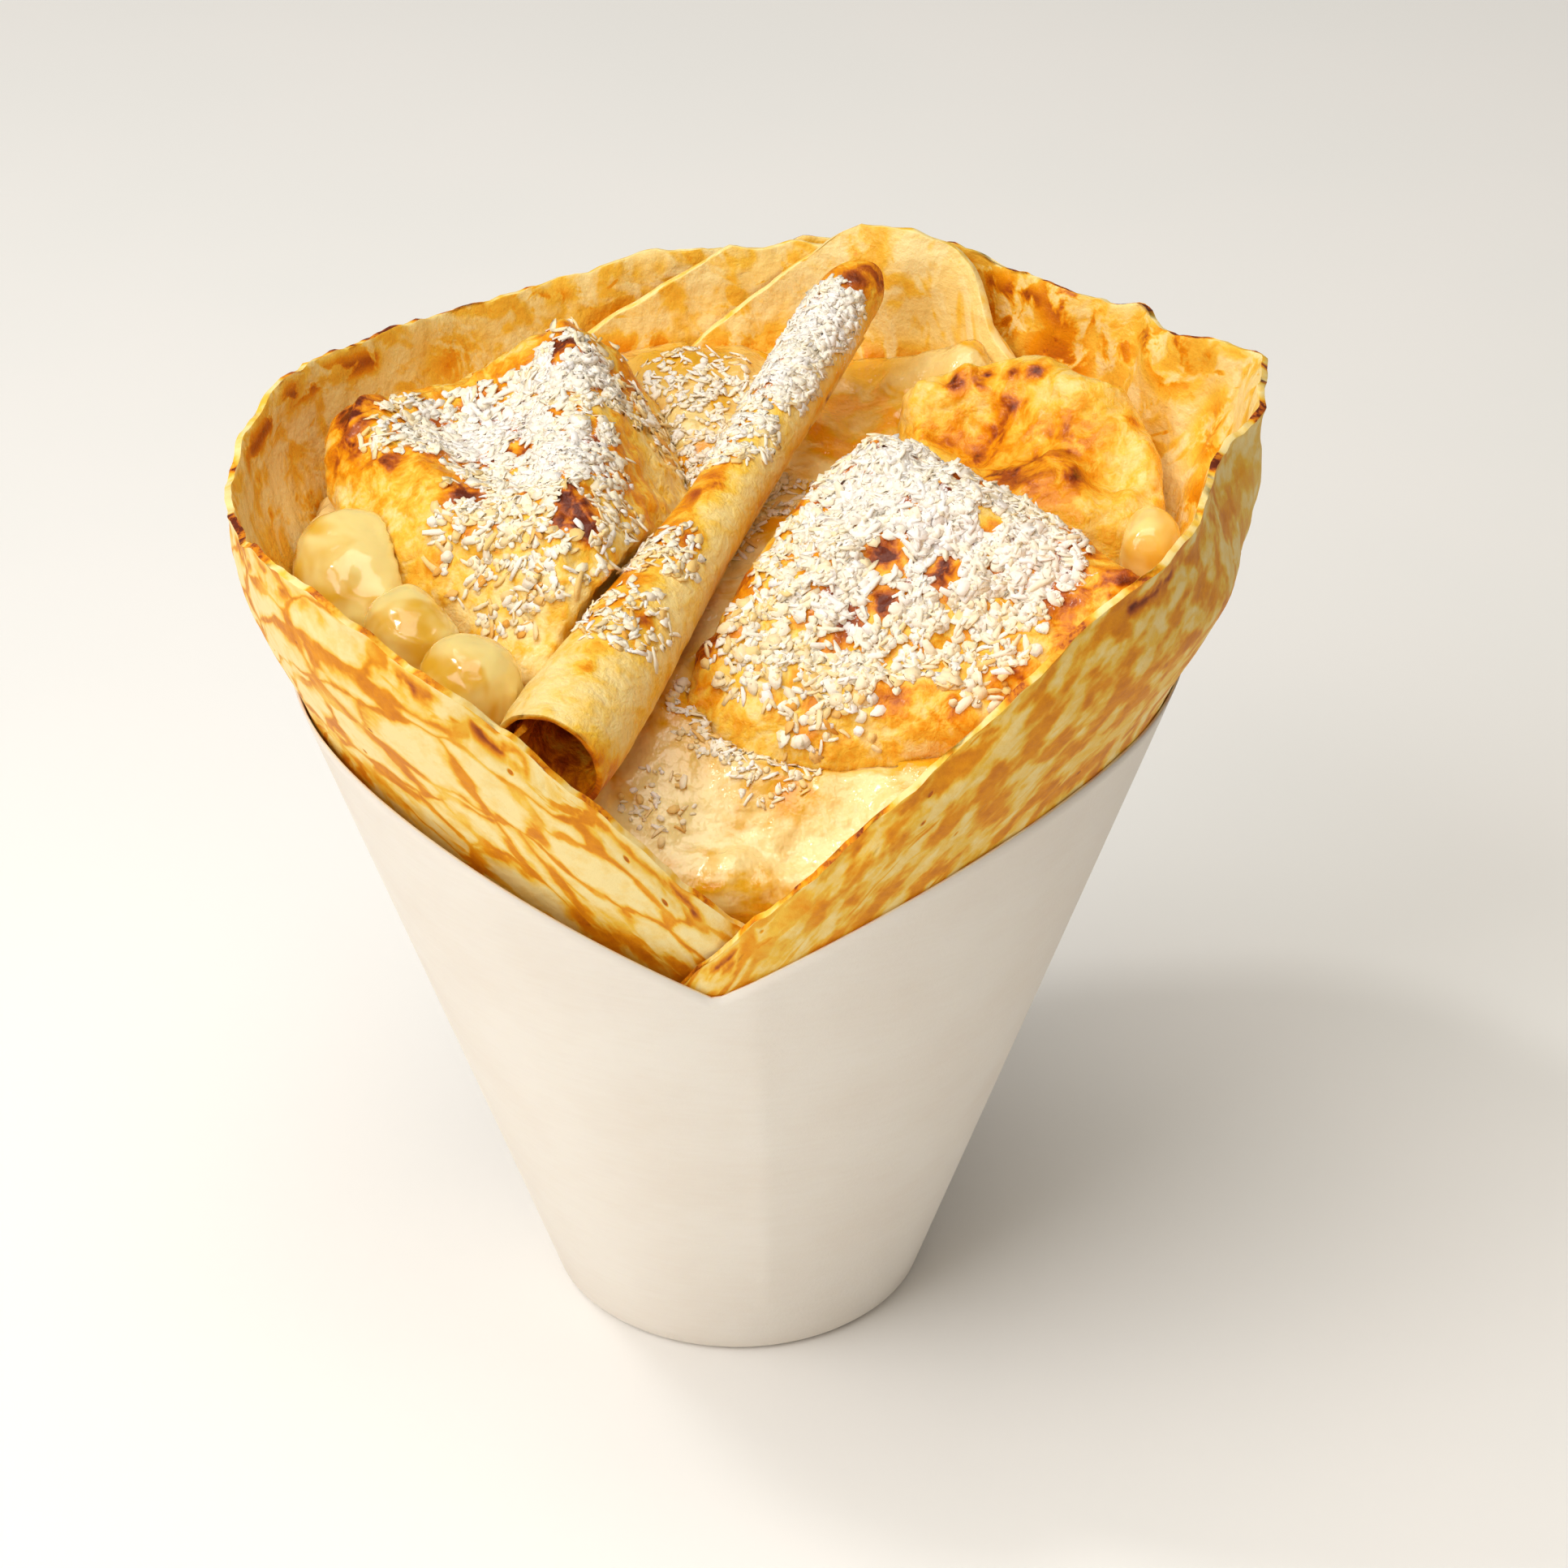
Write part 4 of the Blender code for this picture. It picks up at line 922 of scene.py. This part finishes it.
class CREPE_OT_crepe_wrap(bpy.types.Operator):
    """The crepe that is the cone, with its ragged, browned rim and its two crossing flaps"""

    bl_idname = "crepe.crepe_wrap"
    bl_label = "Crepe wrap"

    def execute(self, context):
        start, end = RIM[0][0], RIM[-1][0]
        held_share = WRAP_HIDDEN_ROWS / WRAP_GRID[1]

        def place(u, v):
            angle = start + (end - start) * u
            rim = rim_height(angle)
            held = np.minimum(paper_top(angle) - FREE_FROM, rim - 4)
            low = CREPE_FLOOR + (held - CREPE_FLOOR) * v / held_share
            high = held + (rim - held) * (v - held_share) / (1 - held_share)
            height = np.where(v < held_share, low, high)
            points = crepe_middle(angle, height)
            # the last few millimetres curl and thin unevenly
            edge = np.exp(-np.maximum(rim - height, 0) / 3)
            curl = EDGE_CURL * edge * row_noise([(a * 0.13, 1.0, 2.0) for a in angle])
            crumpled = np.exp(-(((wrapped(angle) - CRUMPLE_ANGLE) / CRUMPLE_SPAN) ** 2))
            dents = row_noise([(a * 0.24, h * 0.13, 7.0) for a, h in zip(angle, height)])
            curl += WALL_DENTS * crumpled * dents
            over = height - paper_top(angle)
            swell = WRAP_SNUG + WRAP_SWELL * ease(over / 9) * ease((rim - height) / 6)
            outward = points * np.array([1, 1, 0])
            outward /= np.maximum(np.linalg.norm(outward, axis=1, keepdims=True), 1e-6)
            points += outward * (swell + curl * ease((over - 4) / 6))[:, None]
            run = np.radians(-angle) * RIM_REACH
            # the teeth stand up from the last row and sink away below it
            points[:, 2] += EDGE_TEETH * nibbled(run) * ease(1 - (rim - height) / 3)
            return points, np.stack([run, rim - height], axis=1)

        finishes = (crepe_inside(), crepe_outside(), crepe_lip())
        piece = new_sheet("crepe_wrap_finished", WRAP_GRID, place, context.scene.crepe_sizes.crepe, finishes)
        relief(piece, "crepe_wrap")
        points = points_of(piece)
        run, below = unrolled_of(piece)
        paint(piece, "toasted", self.brown_and_shade(points, run, below))
        direction = direction_of(points)
        away = np.abs(direction)
        # the net is plainest on the left flap, and fades round the back
        lost = FLAP_NET_LOST * self.right_flap(direction)
        paint(piece, "netted", 1 - lost - BACK_NET_LOST * ease((away - 65) / 40))
        paint(piece, "burnt", (0.62 + 0.36 * ease((away - 50) / 30)) * burnt_edge(run, below))
        finish_piece(piece, "crepe", "crepe_wrap")
        return {"FINISHED"}

    def right_flap(self, direction):
        """1 on the right flap, golden all over, and on the side turned from the key light, whose shade is
        painted in as browner colour.
        """
        return ease((direction + 5) / 20) * ease((105 - direction) / 40)

    def brown_and_shade(self, points, run, below):
        """Browned in a band below the rim and by the paper, in blotches on the back wall, and on the right
        flap, where painted shade is added to its golden colour.
        """
        down, width, dark = RIM_BAND
        band = np.exp(-(((below - down) / width) ** 2)) * dark * ease(0.4 + 2.0 * nibbled(run * 0.6))
        direction = direction_of(points)
        over_paper = points[:, 2] - paper_top(direction)
        up, width, dark = FOOT_BAND
        foot = np.exp(-(((over_paper - up) / width) ** 2)) * dark * ease(0.5 + 1.4 * nibbled(run * 0.3 + 40))
        # the right flap's brown is partly its golden colour and partly painted shade of the side turned from
        # the key light
        flap = FLAP_BROWN_AND_SHADE * self.right_flap(direction)
        return np.maximum.reduce([spotted(points, BROWNING_AND_SHADE_SPOTS["crepe_wrap"]), band, foot, flap])


class CREPE_OT_back_layers(bpy.types.Operator):
    """Two thin crepe layers that show against the back wall"""

    bl_idname = "crepe.back_layers"
    bl_label = "Back layers"

    def execute(self, context):
        names = ("steamed_side_crepe", "pan_side_crepe", "crisp_edge_crepe")
        finishes = tuple(bpy.data.materials[name] for name in names)
        for depth, (name, (foot_angle, top_angle, far_angle, rim)) in enumerate(BACK_LAYERS.items()):

            def place(u, v):
                near = foot_angle + (top_angle - foot_angle) * v
                angle = near + (far_angle - near) * u
                top = rim + LAYER_RAGGED * row_noise([(a * 0.2, depth, 0) for a in angle])
                top -= LAYER_DROP * ease(1.6 * u - 0.6)
                inside = (CREPE_THICKNESS + LAYER_THICKNESS) / 2 + LAYER_GAP
                inside += depth * (LAYER_THICKNESS + LAYER_GAP)
                height = LAYER_FOOT + (top - LAYER_FOOT) * v
                run = np.radians(-angle) * LAYER_REACH + LAYER_APART * depth
                return crepe_middle(angle, height, inside), np.stack([run, top - height + 3], axis=1)

            thickness = context.scene.crepe_sizes.layer
            piece = new_sheet(f"{name}_finished", LAYER_GRID, place, thickness, finishes)
            relief(piece, "crepe_layer")
            points = points_of(piece)
            # the layers brown towards their foot by the cream: partly moisture, partly painted shade where
            # they go down into the filling
            paint(piece, "toasted", 0.55 * ease((101 - points[:, 2]) / 7) + 0.1)
            run, below = unrolled_of(piece)
            paint(piece, "burnt", 0.8 * burnt_edge(run, below))
            paint(piece, "netted", np.ones(len(points)))
            finish_piece(piece, "crepe", name)
        return {"FINISHED"}


def roll_frame():
    """Matrix whose Z runs along the roll from its low end, with Y as near up as can be."""
    axis = (ROLL_HIGH - ROLL_LOW).normalized()
    side = axis.cross(Vector((0, 0, 1))).normalized()
    return np.array(Matrix((side, side.cross(axis), axis)).transposed())


def roll_radius(share):
    return ROLL_RADIUS_LOW + (ROLL_RADIUS_HIGH - ROLL_RADIUS_LOW) * ease(share * 1.6)


class CREPE_OT_crepe_roll(bpy.types.Operator):
    """The crepe roll across the middle: a sheet that spirals in, open at its low front end"""

    bl_idname = "crepe.crepe_roll"
    bl_label = "Crepe roll"

    def execute(self, context):
        run = (ROLL_HIGH - ROLL_LOW).length

        def place(u, v):
            angle = np.radians(ROLL_START - 360 * ROLL_TURNS * u)
            inward = (ROLL_THICKNESS + GAP) * np.maximum(0.0, u * ROLL_TURNS - ROLL_OUTER_TURN)
            # the roll is soft, so it is never quite round, and it dents along its length
            spots = [(math.cos(a) * 0.9, math.sin(a) * 0.9, b * 6) for a, b in zip(angle, v)]
            dents = ROLL_DENTS * row_noise(spots)
            radius = roll_radius(v) - ROLL_THICKNESS / 2 - inward + dents * (inward < 0.5)
            cut_back = 0.5 + 0.5 * np.cos(angle - math.radians(ROLL_SLANT_ANGLE))
            slant = ROLL_SLANT * cut_back * (1 - v) ** 3
            tip = ROLL_TIP * v**6 * np.maximum(0.0, np.cos(angle - math.radians(ROLL_TIP_ANGLE)))
            ragged = ROLL_RAGGED * row_noise([(a * 1.7, 4.0, 0.0) for a in angle]) * (1 - v) ** 8
            local = polar(np.degrees(angle) + 90, radius, run * v + slant + tip + ragged)
            local[:, 1] -= ROLL_SAG * np.sin(math.pi * v)
            points = kept_inside(np.array(ROLL_LOW) + local @ roll_frame().T, 0.75 * ROLL_THICKNESS)
            return points, np.stack([u * 60, v * run], axis=1)

        made = toasted_crepe("rolled_crepe_skin", 0.1, 0.1, dusted=True)
        finishes = (made, made, made)
        piece = new_sheet("crepe_roll_finished", ROLL_GRID, place, context.scene.crepe_sizes.roll, finishes)
        relief(piece, "crepe_roll")
        points = points_of(piece)
        # the inner turns, deep in the roll's hollow, are painted browner: painted shade in the hollow
        local = (points - np.array(ROLL_LOW)) @ roll_frame()
        share = np.clip(local[:, 2] / run, 0, 1)
        local[:, 1] += ROLL_SAG * np.sin(math.pi * share)
        hollow = ease((roll_radius(share) - 1.0 - np.hypot(local[:, 0], local[:, 1])) / 0.6)
        # its ridge, at the upper left, stood nearest the heat
        around = np.degrees(np.arctan2(local[:, 1], local[:, 0]))
        ridge = 0.42 * np.exp(-(((around - 118) / 38) ** 2)) * ease((share - 0.1) / 0.2)
        toasted = np.maximum(spotted(points, BROWNING_AND_SHADE_SPOTS["crepe_roll"]), ridge)
        paint(piece, "toasted", np.maximum(toasted, 0.6 * hollow))
        paint(piece, "dusted", spotted(points, DUSTED["crepe_roll"]))
        finish_piece(piece, "crepe_roll", "crepe_roll")
        return {"FINISHED"}


class CREPE_OT_crepe_folds(bpy.types.Operator):
    """The two folded crepes, blistered on their peaks"""

    bl_idname = "crepe.crepe_folds"
    bl_label = "Folded crepes"

    def execute(self, context):
        made = toasted_crepe("folded_crepe_skin", 0.16, 0.18, dusted=True)
        for node in ("crepe_fold_left", "crepe_fold_right"):
            piece = soft_copy(node, "crepe_fold")
            relief(piece, "crepe_fold")
            points = points_of(piece)
            dusted = spotted(points, DUSTED[node])
            for bare, radius in BARE:
                dusted *= 1 - np.exp(-((np.hypot(*(points[:, :2] - bare).T) / radius) ** 4))
            paint(piece, "toasted", np.maximum(spotted(points, BROWNING_AND_SHADE_SPOTS[node]), 0.76 * dusted))
            paint(piece, "dusted", dusted)
            piece.data.materials.append(made)
            finish_piece(piece, "crepe_fold", node)
        return {"FINISHED"}


class CREPE_OT_crepe_curl(bpy.types.Operator):
    """The curled crepe at the right, glazed and browned in its hollow"""

    bl_idname = "crepe.crepe_curl"
    bl_label = "Curled crepe"

    def execute(self, context):
        made = toasted_crepe("glazed_crepe_skin", 0.2, 0.14, roughness=0.24, subsurface=0.255)
        piece = soft_copy("crepe_curl", "crepe_curl")
        relief(piece, "crepe_curl")
        points = points_of(piece)
        paint(piece, "toasted", spotted(points, BROWNING_AND_SHADE_SPOTS["crepe_curl"]))
        piece.data.materials.append(made)
        finish_piece(piece, "crepe_curl", "crepe_curl")
        return {"FINISHED"}


class CREPE_OT_cream(bpy.types.Operator):
    """The cream that fills the cone, risen to meet what lies in it"""

    bl_idname = "crepe.cream"
    bl_label = "Cream"

    def execute(self, context):
        piece = soft_copy("cream", "cream", 1.6)
        modify(piece, "DISPLACE", strength=CREAM_SWELL * MM, mid_level=0.0)
        relief(piece, "cream")
        points = kept_inside(points_of(piece), CREAM_PRESS)
        points[:, 2] = np.maximum(points[:, 2], CREAM_FLOOR)
        place_points(piece, points)
        paint(piece, "toasted", spotted(points, BROWNING_AND_SHADE_SPOTS["cream"]))
        piece.data.materials.append(whipped_cream())
        finish_piece(piece, "cream", "cream")
        return {"FINISHED"}


class CREPE_OT_fruit(bpy.types.Operator):
    """The soft fruit pieces at the left and right"""

    bl_idname = "crepe.fruit"
    bl_label = "Soft fruit"

    def execute(self, context):
        made = soft_fruit()
        for node in sorted(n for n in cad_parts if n.startswith("fruit_piece")):
            piece = soft_copy(node, "fruit")
            relief(piece, "fruit")
            piece.data.materials.append(made)
            finish_piece(piece, "fruit", node)
        return {"FINISHED"}


def flake_blank(sizes):
    """One flat flake at the origin, cut across so that it can bend."""
    deselect()
    bpy.ops.mesh.primitive_cube_add(size=1)
    blank = bpy.context.object
    blank.name = "flake_blank"
    bpy.ops.object.mode_set(mode="EDIT")
    bpy.ops.mesh.select_mode(type="EDGE")
    bpy.ops.mesh.select_all(action="DESELECT")
    bpy.ops.object.mode_set(mode="OBJECT")
    for edge in blank.data.edges:
        ends = [blank.data.vertices[i].co for i in edge.vertices]
        edge.select = abs(ends[0].x - ends[1].x) > 0.5
    bpy.ops.object.mode_set(mode="EDIT")
    bpy.ops.mesh.subdivide(number_cuts=FLAKE_RINGS, quadcorner="INNERVERT")
    bpy.ops.object.mode_set(mode="OBJECT")
    points = points_of(blank) * (sizes.flake_length, sizes.flake_width, sizes.flake_depth)
    faces = [tuple(face.vertices) for face in blank.data.polygons]
    bpy.data.objects.remove(blank, do_unlink=True)
    return points, faces


def bent(points, draw):
    """A shred, a chip or a crumb: the flake resized, roughened, then bent and twisted."""
    long, wide = draw.choice(FLAKE_FORMS)
    made = points * (long, wide, 1.0)
    run = made[:, 0].max() * 2
    share = made[:, 0] / run
    made[:, 1:] *= (1 - 1.6 * share**2)[:, None]
    made += np.array([[draw.uniform(-FLAKE_ROUGH, FLAKE_ROUGH) for _ in range(3)] for _ in made])
    turn = math.radians(draw.uniform(-FLAKE_TWIST, FLAKE_TWIST)) * share * 2
    y = made[:, 1] * np.cos(turn) - made[:, 2] * np.sin(turn)
    z = made[:, 1] * np.sin(turn) + made[:, 2] * np.cos(turn)
    sweep = math.radians(draw.uniform(0.15, 1.0) * FLAKE_BEND * draw.choice((-1, 1)))
    radius = run / sweep
    along_arc = share * sweep
    return np.stack([(radius - y) * np.sin(along_arc), radius - (radius - y) * np.cos(along_arc), z], axis=1)


class CREPE_OT_flakes(bpy.types.Operator):
    """Coconut flakes strewn over the folds, the roll and the cream, one piece for each bed"""

    bl_idname = "crepe.flakes"
    bl_label = "Coconut flakes"

    def execute(self, context):
        draw = random.Random(FLAKE_SEED)
        points, faces = flake_blank(context.scene.crepe_sizes)
        shapes = [bent(points, draw) for _ in range(FLAKE_VARIANTS)]
        made = coconut_flesh()
        for node in FLAKE_BEDS:
            piece = self.strew(node, shapes, faces, draw)
            piece.data.materials.append(made)
            finish_piece(piece, None)
        return {"FINISHED"}

    def strew(self, node, shapes, faces, draw):
        """One mesh of all the flakes on a piece, dropped from above."""
        count, scale, discs = FLAKE_BEDS[node]
        graph = bpy.context.evaluated_depsgraph_get()
        ground = BVHTree.FromObject(bpy.data.objects[f"{node}_finished"], graph)
        weights = [share for *_, share in discs]
        corners, polygons, tints = [], [], []
        tries = 0
        laid = 0
        while laid < count and tries < count * FLAKE_TRIES:
            tries += 1
            x, y, radius, _ = draw.choices(discs, weights)[0]
            away, turn = radius * draw.random() ** 0.6, draw.uniform(0, math.tau)
            spot = Vector((x + away * math.cos(turn), y + away * math.sin(turn), DROP_FROM))
            hit, normal, _, _ = ground.ray_cast(spot * MM, Vector((0, 0, -1)))
            if hit is None or normal.z < draw.uniform(0.2, 0.6):
                continue
            if any(math.dist(spot[:2], bare) < reach * draw.uniform(0.7, 1.2) for bare, reach in BARE):
                continue
            # they lie in clumps about 2 mm apart with crust showing between
            clump = noise.noise(Vector((spot.x, spot.y, 0.0)) / FLAKE_CLUMP)
            if draw.random() > 0.1 + 1.9 * (clump + 0.25):
                continue
            lie = normal.to_track_quat("Z", "X").to_matrix()
            spin = Matrix.Rotation(draw.uniform(0, math.tau), 3, "Z")
            tilt = Matrix.Rotation(math.radians(draw.gauss(0, FLAKE_TILT)), 3, "Y")
            roll = Matrix.Rotation(math.radians(draw.gauss(0, FLAKE_TILT)), 3, "X")
            size = scale * draw.triangular(0.45, 1.5, 0.85)
            matrix = np.array(lie @ spin @ tilt @ roll) * size
            rise = draw.random() ** 2 * FLAKE_HEAP * (1.0 - away / radius * 0.6)
            lift = np.array(normal) * (FLAKE_CLEAR + rise)
            shape = draw.choice(shapes) @ matrix.T + np.array(hit / MM) + lift
            offset = laid * len(shape)
            corners.append(shape)
            polygons.extend(tuple(offset + i for i in face) for face in faces)
            # those that lie off the dusted middle have taken up butter and browned
            butter = 1 - spotted(np.array([hit / MM]), DUSTED[node])[0]
            tints.extend([0.35 * draw.random() ** 2 + 0.75 * butter * draw.random()] * len(shape))
            laid += 1
        mesh = bpy.data.meshes.new(f"{node}_flakes")
        mesh.from_pydata((np.concatenate(corners) * MM).tolist(), [], polygons)
        piece = bpy.data.objects.new(f"{node}_flakes", mesh)
        bpy.context.scene.collection.objects.link(piece)
        paint(piece, "tint", np.array(tints))
        return piece


class CREPE_OT_stage(bpy.types.Operator):
    """A plain pale floor, soft studio light from the upper left, and the camera"""

    bl_idname = "crepe.stage"
    bl_label = "Studio"

    def execute(self, context):
        deselect()
        bpy.ops.mesh.primitive_plane_add(size=FLOOR_SIZE)
        floor = context.object
        floor.name = "studio_floor"
        floor.data.materials.append(studio_floor())
        for name, (place, size, power, tone) in LIGHTS.items():
            bpy.ops.object.light_add(type="AREA", location=place)
            light = context.object
            light.name = name
            light.data.size = size
            light.data.energy = power
            light.data.color = tone
            away = Vector(place) - Vector((0, 0, LIT_HEIGHT))
            light.rotation_euler = away.to_track_quat("Z", "Y").to_euler()
        world = bpy.data.worlds.new("studio_air")
        world.use_nodes = True
        air = world.node_tree.nodes["Background"].inputs
        air["Color"].default_value = AIR_COLOUR
        air["Strength"].default_value = AIR_STRENGTH
        context.scene.world = world
        context.scene.view_settings.view_transform = "Standard"
        down = math.radians(VIEW_DOWN)
        back = Vector((0, -math.cos(down), math.sin(down)))
        up = Vector((0, math.sin(down), math.cos(down)))
        aim = Vector((0, 0, AIM_HEIGHT))
        place = (aim + back * VIEW_DISTANCE + Vector((SIDE_STEP, 0, 0)) + up * UP_STEP) * MM
        bpy.ops.object.camera_add(location=place, rotation=(math.radians(90) - down, 0, 0))
        camera = context.object
        camera.data.lens = LENS
        camera.data.sensor_width = SENSOR
        context.scene.camera = camera
        return {"FINISHED"}


OPERATORS = (
    CREPE_OT_stage,
    CREPE_OT_paper_cone,
    CREPE_OT_crepe_wrap,
    CREPE_OT_back_layers,
    CREPE_OT_crepe_roll,
    CREPE_OT_crepe_folds,
    CREPE_OT_crepe_curl,
    CREPE_OT_cream,
    CREPE_OT_fruit,
    CREPE_OT_flakes,
)


class CREPE_PT_panel(bpy.types.Panel):
    """Lists the pieces in the order in which they are made"""

    bl_idname = "CREPE_PT_panel"
    bl_label = "Rolled crepe"
    bl_space_type = "VIEW_3D"
    bl_region_type = "UI"
    bl_category = "Crepe"

    def draw(self, context):
        for group in (context.scene.crepe_sizes, context.scene.crepe_colours):
            for name in group.__annotations__:
                self.layout.prop(group, name)
        for operator in OPERATORS:
            self.layout.operator(operator.bl_idname)


CLASSES = (CrepeSizes, CrepeColours, *OPERATORS, CREPE_PT_panel)


def register():
    for cls in CLASSES:
        bpy.utils.register_class(cls)
    bpy.types.Scene.crepe_sizes = bpy.props.PointerProperty(type=CrepeSizes)
    bpy.types.Scene.crepe_colours = bpy.props.PointerProperty(type=CrepeColours)


def unregister():
    del bpy.types.Scene.crepe_colours
    del bpy.types.Scene.crepe_sizes
    for cls in reversed(CLASSES):
        bpy.utils.unregister_class(cls)


def main():
    register()
    for operator in OPERATORS:
        group, name = operator.bl_idname.split(".")
        getattr(getattr(bpy.ops, group), name)()


if __name__ == "__main__":
    main()
